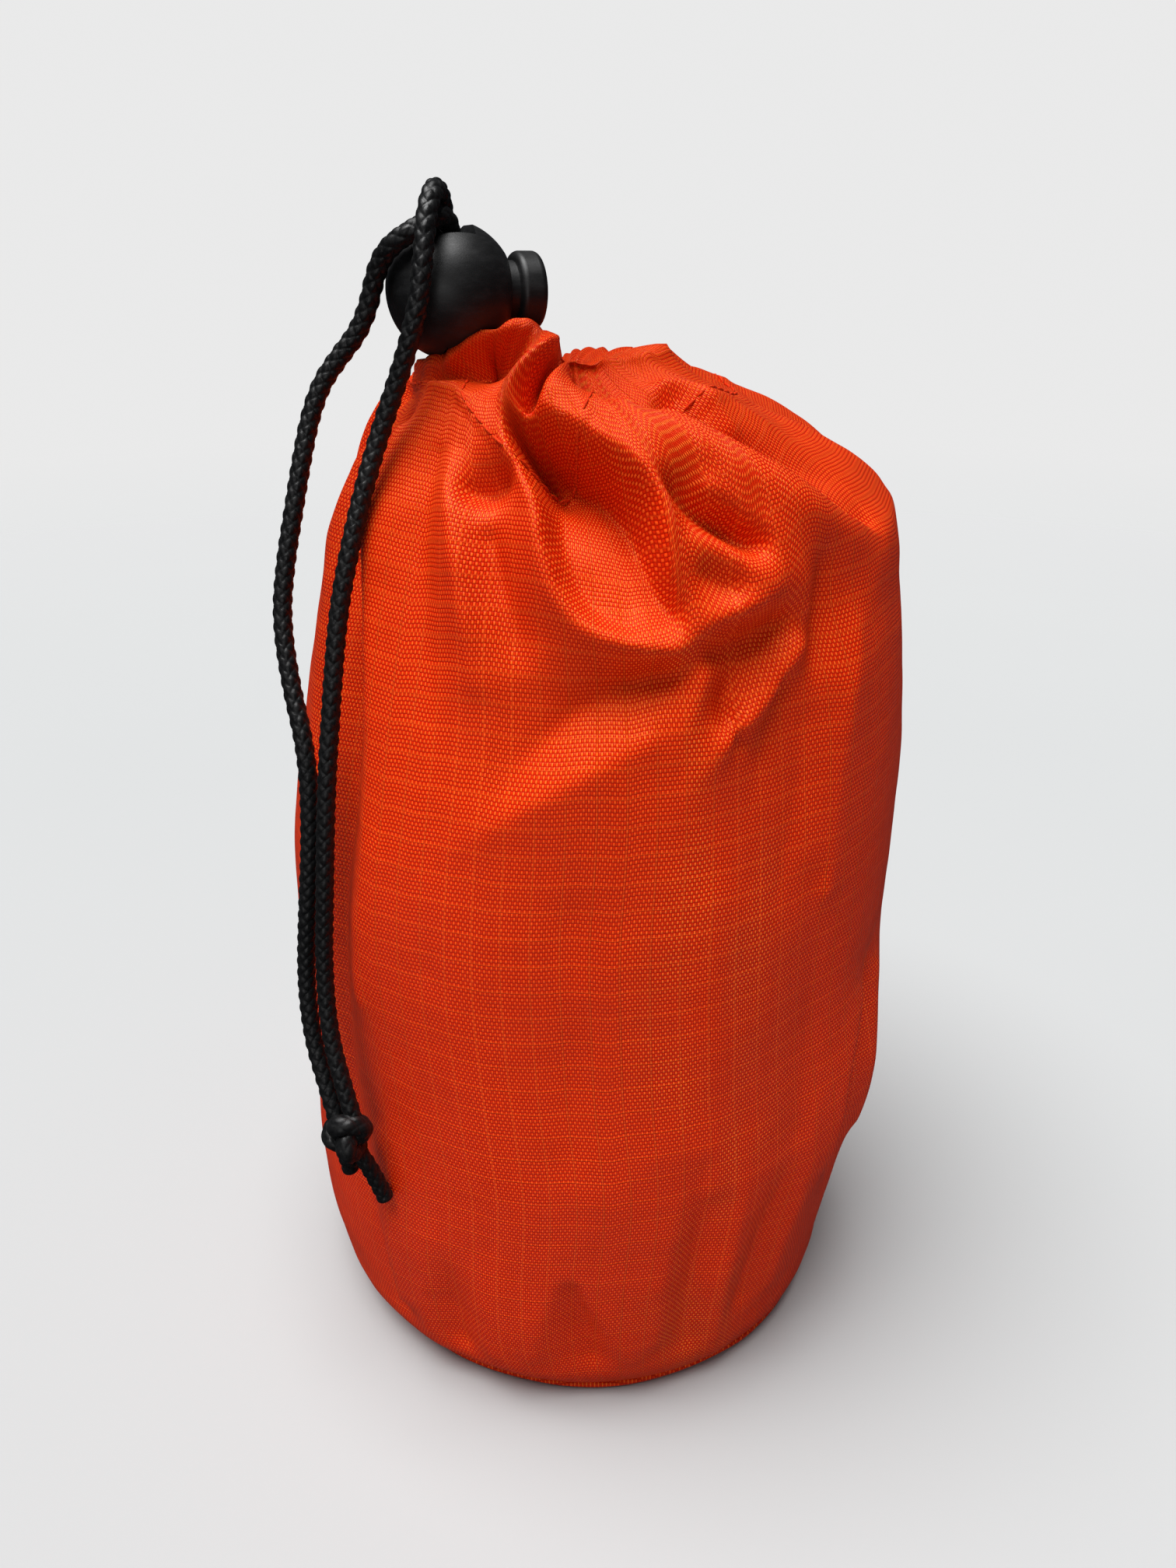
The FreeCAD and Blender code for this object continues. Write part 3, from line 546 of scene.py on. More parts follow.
def make_cords():
    """The two strands over the ball and down the sack, their knot and their heat-sealed ends."""
    front_line, left_line = spline_line(FRONT_ROUTE), spline_line(LEFT_ROUTE)
    front = braided_tube("front_cord", front_line, None)
    left = braided_tube("left_cord", left_line, None)
    knot = braided_tube("overhand_knot", knot_line(), "tails", KNOT_STRAND)
    long_end = braided_tube("long_cord_end", spline_line(LONG_END), "tails", sealed=True)
    short_end = braided_tube("short_cord_end", spline_line(SHORT_END), "tails", sealed=True)
    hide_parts("front_bend", "front_strand")
    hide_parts("left_bend", "left_strand")
    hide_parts("cord_knot")
    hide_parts("long_end")
    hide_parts("short_end")
    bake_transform(front)
    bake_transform(left)
    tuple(FRONT_ROUTE[0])
    [tuple(p) for p in front_line]
    tuple(LEFT_ROUTE[0])
    [tuple(p) for p in left_line]


# ---- the stuffed sack's smooth shape ----

# Rounds of the sack in millimetres: height, radius, and the round's centre in X and Y
ROUNDS = [
    (1, 45.8, 0, 0), (2.6, 47.2, -0.3, 0), (6, 49.4, -1.2, 0), (14, 51.2, -1.8, 0), (28, 53.2, -1.1, 0),
    (50, 54.9, 1, 0), (75, 54.6, 0.6, 0), (100, 54.2, 1.3, 0), (120, 52, 2.9, 0), (140, 48.4, 3.7, 0),
    (155, 44.3, 3.4, 0), (163, 39, 2, -0.5), (168.5, 32.5, -0.5, -2.5), (172, 26, -3, -5),
]

# The gathered lip round the mouth, in degrees and millimetres: azimuth, distance from the mouth, height
LIP = [
    (0, 16, 178.2), (40, 15, 178), (80, 13.5, 177.6), (120, 14.5, 177), (150, 18, 176.6),
    (175, 21.5, 176.4), (192, 23, 176.8), (204, 22, 177.2), (215, 20, 177.6), (226, 18, 180),
    (236, 16.2, 181.6), (247, 12.6, 181.8), (256, 10.6, 180.8), (268, 10, 178.8), (285, 10.5, 177.8),
    (315, 13, 177.6), (340, 15.5, 178),
]
MOUTH = (-4.0, -8.0)
NECK_STATION = 172.0
LIP_STATION = 182.0
THROAT_STATION = 192.0
THROAT_RADIUS = 3.0
THROAT_DEPTH = 9.0
LIP_CURVE = 0.85
LATE_RISE = 0.35
STEEP_LIP = (178.5, 181.0)

COLUMNS = 448
ROWS = 292
DENSE_STATIONS = 2400
MIDDLE_AZIMUTH = 300.0


def round_table(values, at, period=None):
    """A smooth curve through a table's rows, whose first column is the place, read at the places given."""
    table = np.array(values, dtype=float)
    keys, columns = table[:, 0], table[:, 1:]
    if period:
        keys = np.concatenate([keys[-2:] - period, keys, keys[:2] + period])
        columns = np.vstack([columns[-2:], columns, columns[:2]])
    slopes = np.gradient(columns, keys, axis=0)
    at = np.clip(at, keys[0], keys[-1])
    k = np.clip(np.searchsorted(keys, at) - 1, 0, len(keys) - 2)
    span = (keys[k + 1] - keys[k])[:, None]
    share = ((at - keys[k]) / span[:, 0])[:, None]
    start, end = columns[k], columns[k + 1]
    rise, fall = slopes[k] * span, slopes[k + 1] * span
    cube, square = share**3, share**2
    return (
        (2 * cube - 3 * square + 1) * start
        + (cube - 2 * square + share) * rise
        + (3 * square - 2 * cube) * end
        + (cube - square) * fall
    )


def smooth_places(azimuth, station):
    """Points of the sack's smooth shape, in millimetres.

    A station is the height on the body. Past the neck it goes on up over the lip and down into the throat.
    """
    azimuth, station = np.broadcast_arrays(azimuth, station)
    shape = azimuth.shape
    azimuth, station = azimuth.ravel().astype(float), station.ravel().astype(float)
    angle = np.radians(azimuth)
    way = np.stack([np.cos(angle), np.sin(angle)], axis=1)
    body = round_table(ROUNDS, np.minimum(station, NECK_STATION))
    flat = body[:, 1:3] + way * body[:, 0:1]
    height = np.minimum(station, NECK_STATION)
    lip = round_table(LIP, azimuth % 360.0, period=360.0)
    lip_flat = np.array(MOUTH) + way * lip[:, 0:1]
    lip_height = lip[:, 1]
    rising = np.clip((station - NECK_STATION) / (LIP_STATION - NECK_STATION), 0.0, 1.0)
    inward = np.sin(rising * np.pi / 2) ** LIP_CURVE
    upward = 1.0 - np.cos(rising * np.pi / 2)
    steep = smoothstep(*STEEP_LIP, lip_height)
    slow = LATE_RISE * (1 - steep)
    lift = upward * slow + rising * (2 - rising) * (1 - slow)
    flat = flat + (lip_flat - flat) * inward[:, None]
    height = height + (lip_height - height) * lift
    falling = np.clip((station - LIP_STATION) / (THROAT_STATION - LIP_STATION), 0.0, 1.0)
    throat_flat = np.array(MOUTH) + way * THROAT_RADIUS
    flat = flat + (throat_flat - flat) * np.sin(falling * np.pi / 2)[:, None]
    height = height - THROAT_DEPTH * (1.0 - np.cos(falling * np.pi / 2))
    return np.column_stack([flat, height]).reshape(*shape, 3)


def stations():
    """The stations of the grid's rows, evenly spaced along the cloth."""
    dense = np.linspace(ROUNDS[0][0], THROAT_STATION, DENSE_STATIONS)
    line = smooth_places(np.full(DENSE_STATIONS, MIDDLE_AZIMUTH), dense)
    run = run_along(line)
    even = np.linspace(0.0, run[-1], ROWS)
    return np.interp(even, run, dense)


# ---- folds ----

# Folds as lines over the smooth shape: how softly the cloth bends there, then the line's points as azimuth
# in degrees, station, and how far the cloth stands out, in millimetres
FOLDS = [
    # the rib from the mouth down round the hollow, and the step into the hollow
    (0.4, (249, 174, 1), (250, 170, 2.4), (253, 165, 3.2), (257, 160, 3.6), (258, 155, 3.6),
     (260, 150, 3.2), (263, 147, 3), (267, 144.5, 3.2), (273, 143, 3.4), (279, 142, 3.2), (282, 143, 2.6)),
    (0.4, (258, 163.4, -7.4), (259.8, 160, -4.8), (261, 155, -3), (263.2, 150.6, -2.4),
     (266.6, 147.4, -1.8), (272, 145.6, -0.8)),
    # the crest over the deep pocket, the valley under it and the pocket
    (0.4, (262, 170.4, 2.6), (269, 168.2, 3.4), (274, 165.8, 4.4), (278, 162.6, 5), (279.5, 159.5, 4.8),
     (279, 156, 4.2), (279, 153, 3.4), (280.5, 148, 2.6), (282, 144, 2.6)),
    (0.4, (259, 168.4, -9), (262, 167, -11), (266, 165.4, -10.6), (270, 164.2, -9.4), (273, 161.4, -8.6),
     (274.6, 158, -7.4), (275.6, 154, -5.8), (277, 150, -4), (279.4, 146.4, -1.8)),
    (0.4, (254, 169, -8.4), (256, 166.8, -12.4), (258.4, 165, -12), (261.4, 163, -9.6)),
    # the rolled fold at the mouth and its slit, the thin ridge beside it, its slot and the flat facet
    (0.8, (259, 178.4, 2.4), (257, 175.6, 4.8), (254.6, 173, 5), (252.4, 170.4, 4.2), (251, 168, 3.2)),
    (0.4, (257.4, 171.4, -3.4), (261, 173.8, -4.4), (265, 176, -4.6), (269, 178, -1.8)),
    (0.4, (275, 177.6, 1), (271, 175, 3.4), (266, 172.6, 3.4), (262, 170.6, 2.8)),
    (0.4, (275, 174.6, -3), (279, 177.6, -4.4)),
    (0.8, (270, 171, 2.6), (279, 170, 3.2), (285, 171, 2.6)),
    (0.6, (288, 176, -4.6), (293, 175, -4.4)),
    # the hollow under the lip
    (0.5, (220, 176.8, -2.6), (231, 176, -6), (239, 175.4, -7.2), (246, 175.8, -5.4), (250, 177, -2.6)),
    (0.6, (216, 180, 0.6), (226, 180.6, 1), (238, 180.6, 0.8), (247, 180, 0.8)),
    (0.5, (216, 174, 1.8), (228, 173.3, 2.4), (238, 172, 2), (246, 172.4, 0.8)),
    # the big fold down to the right, and its crease against the fold behind
    (1.4, (286, 167.8, 4.6), (291, 164.5, 5.4), (298, 161, 5.6), (306, 158, 5), (314, 155, 3.6),
     (324, 152.5, 2)),
    (0.5, (291, 169.8, 3), (294, 168, 4.2), (299, 164.6, 4.8), (307, 160.8, 4.4), (318, 156.4, 3),
     (328, 153, 1.6)),
    (0.4, (291, 172, -1), (293, 170, -3.2), (298, 166.8, -4.2), (306, 162.8, -3.8), (317, 157.8, -2),
     (328, 154.2, -0.2)),
    # the fold behind and the pointed shoulder
    (1, (311, 173.8, 2.6), (322, 171, 1.8), (333, 167, -0.6), (342, 163.5, 0.8), (350, 158, 2.2)),
    (0.8, (350, 155, 2.4), (342, 153.5, 2), (330, 152, 1.6)),
    (1, (0, 172, -0.6), (5, 167, -1.6), (8, 160, -0.4)),
    (0.6, (297, 172, -5), (303, 171, -6), (308, 173, -3.4)),
    (0.8, (312, 168, -3), (320, 164.5, -2.8), (330, 160.5, -1)),
    (0.5, (317, 171.5, 2.6), (314, 169, 0)),
    # the dimple on the left front and its facets
    (0.5, (242, 161.6, -2.4), (246, 161.2, -3.6), (250, 163.6, -3)),
    (0.4, (237, 165, 1.2), (240, 158, 2.6), (243, 151, 2.8), (245, 144, 2.2), (247, 136, 0.8)),
    (0.5, (247, 156, -1.6), (250, 149, -1.8), (253, 143.6, -1.2), (255, 139, -0.4)),
    (1, (231, 166, -0.8), (232, 154, -1.8), (235, 142, -1.2), (239, 130, -0.4)),
    # the crimps beside the hollow and their edge
    (0.4, (282, 162, -0.6), (286, 159.6, -2.8), (291, 157.6, -3.4), (295, 154.6, -1.8)),
    (0.4, (287.6, 161, 3.6), (292, 158.8, 3.6), (298, 155, 3.4), (303, 150, 2), (305, 145, 0.8)),
    (0.4, (283, 156.4, 2.4), (288, 154, 3.4), (293, 151, 4), (296, 148.6, 3.6)),
    (0.4, (282, 144, 2.6), (286, 146, 3.2), (292, 147.4, 3.8), (296, 148.6, 3.6)),
    (0.5, (285, 151.6, 0.2), (289, 149.6, 0.6)),
    (0.6, (286, 141, -1.6), (293, 142.4, -2.2), (300, 144.4, -1.8)),
    (0.8, (310, 151, -1.4), (309, 144, -2.2), (306, 137, -1.2)),
    # the shallow folds below the hollow
    (0.8, (252, 121, 0.4), (256, 127, -1.2), (263, 133, -2.8), (272, 137.5, -3.2), (279, 138.5, -2.6)),
    (0.8, (246, 112, 1), (256, 119, 1.6), (266, 125, 1.6), (276, 130, 1.2)),
    # the star of creases on the right front
    (0.4, (292, 126, -0.8), (288, 134, -2.4), (291.4, 141, -1.6)),
    (0.4, (284, 124, 0.8), (289.6, 130, 1.8), (297, 135, 1.4), (303, 141, 1.6)),
    (0.4, (293, 116, -0.6), (296, 127, -2), (299.6, 136, -1.8)),
    (0.4, (284.6, 138.6, 1.2), (282, 132, 1), (281, 124, 0.4)),
    (0.6, (318, 142, 1.4), (314, 132, 1.8), (312, 120, 0.8), (311, 100, 0.4)),
    (0.5, (304, 130, -1.4), (303, 118, -1.6), (301, 104, -0.8)),
    # the valleys and folds along the left and the right seam
    (0.5, (205, 170, -3.4), (206, 162, -4.4), (209, 152, -4.2), (214, 140, -3.4), (218, 126, -3),
     (220, 110, -2.8), (219, 95, -2.6), (218, 78, -2.4), (218, 58, -2.2), (221, 42, -2), (227, 25, -1.4),
     (231, 12, -0.8)),
    (0.8, (214, 168, 1), (216, 156, 1.4), (221, 143, 1.2), (226, 125, 0.9), (228, 105, 0.8),
     (226, 80, 0.8)),
    (1, (197, 164, 0.8), (199, 150, 1.2), (203, 132, 1.2), (208, 112, 1.2), (209, 85, 1.2),
     (209, 60, 0.9)),
    (0.5, (335, 84, -0.3), (334, 72, -2), (329, 60, -2.6), (327, 50, -2.4), (329, 40, -2.2),
     (332, 30, -1.2)),
    (0.8, (329, 74, 0.8), (322, 58, 1.3), (321, 44, 1)),
    (0.8, (341, 74, 0.8), (338, 56, 1.4), (339, 40, 1)),
    # the dart over the base seam and the upright creases over the foot
    (0.4, (266, 39, 0.2), (263, 26, 1.2), (261, 13, 1.4)),
    (0.4, (266, 39, 0.2), (273, 26, 1), (281, 12, 1.2)),
    (0.5, (268, 33, -1), (271, 22, -2), (273, 12, -1.8)),
    (0.5, (244, 34, 0.2), (245, 22, -1.4), (246, 11, -1.6)),
    (0.5, (240, 44, 0.3), (239, 28, 1), (238, 12, 1)),
    (0.5, (251, 40, 0.3), (252, 26, 1), (253, 12, 1.2)),
    (0.5, (289, 58, 0.2), (290, 40, -1.4), (291, 22, -1.4), (292, 12, -0.8)),
    (0.5, (284, 52, 0.3), (284, 36, 1), (285, 16, 1.2)),
    (0.5, (296, 66, 0.3), (297, 44, 1.2), (298, 24, 1.4), (299, 12, 1)),
    (0.5, (306, 52, 0), (305, 36, -1.2), (304, 18, -1.2)),
    (0.6, (314, 60, 0.4), (313, 40, 1), (312, 18, 0.8)),
    (0.6, (228, 52, 0.2), (230, 34, 1), (231, 16, 1)),
    # long soft waves of the tube
    (2, (246, 106, 0.8), (248, 85, 1), (250, 55, 0.8)),
    (2, (266, 105, -0.8), (268, 80, -1), (264, 58, -0.6)),
    (2, (288, 106, 0.9), (290, 80, 1), (290, 50, 0.8)),
    (2, (309, 105, -0.8), (311, 80, -1), (309, 55, -0.6)),
]
# Rows of folds on the side away from the camera: how many, the first one's azimuth, and the angle they fill
HIDDEN_GATHERS = (11, 382, 168)
HIDDEN_UNDULATIONS = (10, 378, 176)
HIDDEN_FOOT_CREASES = (12, 382, 166)
FOLD_STEP = 0.4
FOLD_GRIP = 5.0
FOLD_REACH = 13.0
COARSE_STEPS = (8, 4, 2, 1)
RELAXING_ROUNDS = 150
CRISP_ROUNDS = 2
EASED_ROUNDS = 10
CRISP_TO_EASED = (0.4, 1.6)
COARSE_GATHERS = 1.5
GATHERS_START = (160.0, 178.0)
FINE_GATHERS_START = (168.0, 182.0)
SMOOTH_RIM = 315.0
OFF_SMOOTH_RIM = (20.0, 50.0)
BODY_RIPPLE, SHOULDER_RIPPLE, FOOT_RIPPLE = 0.16, 0.30, 0.14
SHOULDER = (118.0, 150.0)
FOOT = (30.0, 4.0)


def scattered(row, scatter, chance):
    """The azimuths of a row of hidden folds, each a little off its even place."""
    count, first, angle = row
    for i in range(count):
        yield first + i * angle / count + chance(-scatter, scatter)


def hidden_gathers(chance):
    """Crests and valleys that run down from the mouth."""
    half_step = HIDDEN_GATHERS[2] / HIDDEN_GATHERS[0] / 2
    for azimuth in scattered(HIDDEN_GATHERS, 4, chance):
        lean, foot, height = chance(-9, 9), chance(128, 156), chance(1.4, 3.0)
        crest = (azimuth, 175, height * 0.7), (azimuth + lean * 0.4, 168, height), (azimuth + lean, foot, 0.2)
        side, depth = azimuth + half_step, chance(-4.2, -2.0)
        valley = (side, 176, depth * 0.7), (side - lean * 0.3, 168, depth), (side - lean, foot + 6, -0.2)
        yield chance(1.0, 2.4), *crest
        yield chance(0.7, 1.6), *valley


def hidden_undulations(chance):
    """Long soft waves down the tube, outwards and inwards by turns."""
    for i, azimuth in enumerate(scattered(HIDDEN_UNDULATIONS, 5, chance)):
        height = chance(0.7, 1.2) * (1 if i % 2 else -1)
        top, foot, lean = chance(96, 128), chance(28, 52), chance(-5, 5)
        middle = (azimuth + lean, (top + foot) / 2, height)
        yield 2.0, (azimuth, top, 0.3 * height), middle, (azimuth, foot, 0.4 * height)


def hidden_foot_creases(chance):
    """Upright creases over the foot, outwards and inwards by turns."""
    for i, azimuth in enumerate(scattered(HIDDEN_FOOT_CREASES, 4, chance)):
        height, top = chance(0.8, 1.5) * (1 if i % 2 else -1), chance(30, 56)
        middle = (azimuth + chance(-2, 2), top / 2, height)
        yield 0.5, (azimuth, top, 0.1), middle, (azimuth, 12, 0.9 * height)


def fold_points(folds):
    """The folds as close-set points: azimuth, station, how far the cloth stands out there, and softness."""
    rows = []
    for softness, *line in folds:
        table = np.array([(*point, softness) for point in line], dtype=float)
        corners = smooth_places(table[:, 0], table[:, 1])
        for k in range(len(table) - 1):
            count = max(1, math.ceil(np.linalg.norm(corners[k + 1] - corners[k]) / FOLD_STEP))
            share = np.arange(count)[:, None] / count
            rows.append(table[k] + (table[k + 1] - table[k]) * share)
        rows.append(table[-1:])
    return np.vstack(rows)


def drawn(points, values, rows, columns, spacing):
    """Values at points drawn on a grid: each grid place's mean value, and how firmly it is held."""
    high = np.clip(points[:, 1], 0, rows - 1.001)
    row, column = np.floor(high).astype(int), np.floor(points[:, 0]).astype(int)
    above, beside = high - row, points[:, 0] - column
    held, total = np.zeros((rows, columns)), np.zeros((rows, columns))
    for up, along in ((0, 0), (0, 1), (1, 0), (1, 1)):
        share = (above if up else 1 - above) * (beside if along else 1 - beside)
        where = (row + up, (column + along) % columns)
        np.add.at(held, where, share)
        np.add.at(total, where, share * values)
    return total / np.maximum(held, 1e-9), FOLD_GRIP * np.minimum(held * FOLD_STEP / spacing, 1.0)


def enlarged(grid, rows, columns):
    """A grid of values round the sack carried over to a finer grid."""
    level = np.linspace(0, len(grid) - 1, rows)
    low = np.minimum(level.astype(int), len(grid) - 2)
    share = (level - low)[:, None]
    grid = grid[low] * (1 - share) + grid[low + 1] * share
    turn = np.arange(columns) * grid.shape[1] / columns
    left = turn.astype(int)
    share = turn - left
    return grid[:, left] * (1 - share) + grid[:, (left + 1) % grid.shape[1]] * share


def relaxed(grid, side_share, target, grip, settling):
    """One round of pulling a grid taut: its inner rows moved to the mean of their neighbours."""
    beside = np.roll(grid, 1, axis=1)[1:-1] + np.roll(grid, -1, axis=1)[1:-1]
    mean = beside * side_share + (grid[:-2] + grid[2:]) * (0.5 - side_share)
    return (mean + grip[1:-1] * target[1:-1]) / (1.0 + grip[1:-1] + settling)


def softened(lift, rounds):
    """The same rise of the cloth with its sharpest points eased out between neighbours."""
    for _ in range(rounds):
        beside = (np.roll(lift, 1, axis=1) + np.roll(lift, -1, axis=1)) / 2
        above = np.vstack([lift[:1], (lift[:-2] + lift[2:]) / 2, lift[-1:]])
        lift = lift * 0.4 + beside * 0.3 + above * 0.3
    return lift


def draped(smooth, station):
    """How far the cloth stands out at each place: pulled taut between its folds, slack away from them."""
    chance = random.Random(SEED).uniform
    hidden = [*hidden_gathers(chance), *hidden_undulations(chance), *hidden_foot_creases(chance)]
    table = fold_points(FOLDS + hidden)
    level = np.interp(table[:, 1], station, np.arange(ROWS)) / (ROWS - 1)
    around = np.linalg.norm(np.roll(smooth, -1, axis=1) - smooth, axis=2).mean(axis=1)
    rise = np.linalg.norm(smooth[1:] - smooth[:-1], axis=2).mean()
    lift, soft = np.zeros((2, 2)), np.zeros((2, 2))
    for coarse in COARSE_STEPS:
        rows, columns = (ROWS - 1) // coarse + 1, COLUMNS // coarse
        points = np.column_stack([table[:, 0] % 360.0 * columns / 360.0, level * (rows - 1)])
        across = np.interp(np.linspace(0, ROWS - 1, rows), np.arange(ROWS), around)[1:-1, None] * coarse
        up = rise * (ROWS - 1) / (rows - 1)
        side_share = up**2 / (across**2 + up**2) / 2
        settling = (across * up) ** 2 / (across**2 + up**2) / 2 / FOLD_REACH**2
        target, grip = drawn(points, table[:, 2], rows, columns, up)
        softness, soft_grip = drawn(points, table[:, 3], rows, columns, up)
        lift, soft = enlarged(lift, rows, columns), enlarged(soft, rows, columns)
        for _ in range(RELAXING_ROUNDS):
            lift[1:-1] = relaxed(lift, side_share, target, grip, settling)
            soft[1:-1] = relaxed(soft, side_share, softness, soft_grip, 0.0)
    crisp, eased = softened(lift, CRISP_ROUNDS), softened(lift, EASED_ROUNDS)
    share = smoothstep(*CRISP_TO_EASED, soft)
    return crisp * (1 - share) + eased * share


def ripples(azimuth, station, places):
    """Fine gathers round the mouth and the cloth's small unevenness, in millimetres."""
    result = np.empty(len(places))
    near_mouth = smoothstep(*GATHERS_START, station)
    off_smooth_rim = np.abs((azimuth - SMOOTH_RIM + 180.0) % 360.0 - 180.0)
    gathered = 0.3 + 0.7 * smoothstep(*OFF_SMOOTH_RIM, off_smooth_rim)
    gathers = smoothstep(*FINE_GATHERS_START, station) * gathered
    body = BODY_RIPPLE + SHOULDER_RIPPLE * smoothstep(*SHOULDER, station)
    body += FOOT_RIPPLE * smoothstep(*FOOT, station)
    for k in range(len(places)):
        angle = math.radians(azimuth[k])
        around = Vector((math.cos(angle), math.sin(angle), station[k] * 0.012))
        fine = noise.noise(around * 9.0) if gathers[k] > 0 else 0.0
        coarse = noise.noise(around * 4.2 + Vector((5, 1, 2))) if near_mouth[k] > 0 else 0.0
        place = Vector(places[k])
        soft = noise.noise(place * 0.075) + 0.5 * noise.noise(place * 0.17 + Vector((3, 7, 1)))
        result[k] = body[k] * soft + COARSE_GATHERS * near_mouth[k] * coarse + gathers[k] * fine
    return result


# The hem's lower edge: azimuth in degrees and station
HEM_LINE = [
    (0, 171), (40, 172), (80, 171), (120, 172), (160, 171.5), (199, 174), (229, 173.4), (243, 169),
    (253, 164.6), (258, 163), (263, 164.2), (271, 168.6), (280, 171.8), (292, 172.7), (300, 171.6),
    (330, 171),
]
HEM_THICKNESS = 0.40
HEM_STEP = (-0.25, 0.25)
FOLDS_END = (190.0, 183.0)
FOLDS_START = (1.0, 7.0)
RIPPLES_START = (0.5, 4.0)


def normals_of(places):
    """Outward directions over a closed grid of points, one row of points round the sack after another."""
    around = np.roll(places, -1, axis=1) - np.roll(places, 1, axis=1)
    up = np.gradient(places, axis=0)
    out = np.cross(around, up)
    return out / np.linalg.norm(out, axis=2)[:, :, None]


def sack_surface():
    """The whole cloth of the tube as a grid of points in millimetres, with its azimuths and stations."""
    azimuth, station = np.arange(COLUMNS) * 360.0 / COLUMNS, stations()
    azimuths, levels = np.meshgrid(azimuth, station)
    smooth = smooth_places(azimuths, levels)
    folds = draped(smooth, station) * smoothstep(*FOLDS_END, levels) * smoothstep(*FOLDS_START, levels)
    small = ripples(azimuths.ravel(), levels.ravel(), smooth.reshape(-1, 3)).reshape(levels.shape)
    hem = round_table(HEM_LINE, azimuth, period=360.0)[:, 0]
    lift = folds + small * smoothstep(*RIPPLES_START, levels)
    lift += HEM_THICKNESS * smoothstep(*HEM_STEP, levels - hem)
    return azimuth, station, smooth + normals_of(smooth) * lift[:, :, None]


# ---- panels ----

LEFT_SEAM = 212.0
RIGHT_SEAM = 32.0
HEM_STATION = 176.0
TUBE_ROUND = 54.5
WARP_LEAN = 0.05
WEFT_LEAN = 0.03


def column_of(azimuth):
    return int(round(azimuth * COLUMNS / 360.0)) % COLUMNS


def panel(name, places, runs, rows, first_column, last_column):
    """One panel of the sack, cut out of the whole grid."""
    count = (last_column - first_column) % COLUMNS or COLUMNS
    columns = first_column + np.arange(count + 1)
    part = places[rows][:, columns % COLUMNS] * MM
    up = runs[rows][:, columns % COLUMNS]
    along = columns * (2 * np.pi * TUBE_ROUND / COLUMNS)
    cloth = np.stack([along + up * WARP_LEAN, up - along * WEFT_LEAN], axis=-1).reshape(-1, 2) * MM
    return mesh_piece(name, part.reshape(-1, 3), grid_faces(*part.shape[:2]), CLOTH, "sack", cloth)


def make_sack():
    """The front and back of the tube and its gathered hem, all cut out of one surface."""
    azimuth, station, places = sack_surface()
    steps = np.linalg.norm(np.diff(places, axis=0), axis=2)
    runs = np.concatenate([np.zeros((1, COLUMNS)), np.cumsum(steps, axis=0)])
    left, right = column_of(LEFT_SEAM), column_of(RIGHT_SEAM)
    hem_row = int(np.searchsorted(station, HEM_STATION))
    front = panel("front_cloth", places, runs, slice(0, hem_row + 1), left, right)
    back = panel("back_cloth", places, runs, slice(0, hem_row + 1), right, left)
    hem = panel("gathered_hem", places, runs, slice(hem_row, ROWS), 0, 0)
    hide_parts("front_panel")
    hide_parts("back_panel")
    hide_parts("hem_channel")
    return azimuth, station, places


# ---- stitches ----

STITCH_LENGTH = 2.3
STITCH_GAP = 0.5
STITCH_RISE = 0.9
THREAD_RADIUS = 0.22
THREAD_SUNK = 0.3
BEAD_RINGS = 9
BEAD_POINTS = 8
BEAD_END = 0.06
BEAD_ARCH = 0.5


def bead(start, finish, lift):
    """A short rounded stitch between two points, as rings of points round its line."""
    way = (finish - start) / np.linalg.norm(finish - start)
    side = np.cross(way, lift)
    side /= np.linalg.norm(side)
    top = np.cross(side, way)
    share = np.linspace(0.0, 1.0, BEAD_RINGS)[:, None]
    thick = THREAD_RADIUS * np.sqrt(np.maximum(BEAD_END, 1.0 - np.abs(2.0 * share - 1.0) ** 3))
    arch = top * THREAD_RADIUS * BEAD_ARCH * np.sin(np.pi * share)
    centres = start + (finish - start) * share + arch
    out = ring_out(side[None], top[None], np.arange(BEAD_POINTS) * 2 * np.pi / BEAD_POINTS)
    return (centres[:, None] + out * thick[:, None]).reshape(-1, 3)


def make_stitches(azimuth, station, places):
    """The hem's row of stitches, a little above its lower edge, all round the sack."""
    outward = normals_of(places)
    levels = round_table(HEM_LINE, azimuth, period=360.0)[:, 0] + STITCH_RISE
    rows = np.interp(levels, station, np.arange(ROWS))
    low, columns = rows.astype(int), np.arange(COLUMNS)
    share = (rows - low)[:, None]
    line = places[low, columns] * (1 - share) + places[low + 1, columns] * share
    run, outward = run_along(line), outward[low, columns]
    points, faces, at = [], [], 0.0
    while at + STITCH_LENGTH < run[-1]:
        lift = points_at(at, run, outward)
        sunk = lift * THREAD_RADIUS * THREAD_SUNK
        first = len(points) * BEAD_RINGS * BEAD_POINTS
        start, finish = points_at([at, at + STITCH_LENGTH], run, line) + sunk
        points.append(bead(start, finish, lift))
        faces += [*grid_faces(BEAD_RINGS, BEAD_POINTS, closed=True, first=first)]
        at += STITCH_LENGTH + STITCH_GAP
    piece = mesh_piece("hem_thread", np.vstack(points) * MM, faces, THREAD)
    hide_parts("hem_stitching")


# ---- load ----

LOAD_GAP = 3.0
LOAD_TOP = 150.0
LOAD_CROWN = 3.0
LOAD_FIRST_ROW = 6
LOAD_STEP = 4


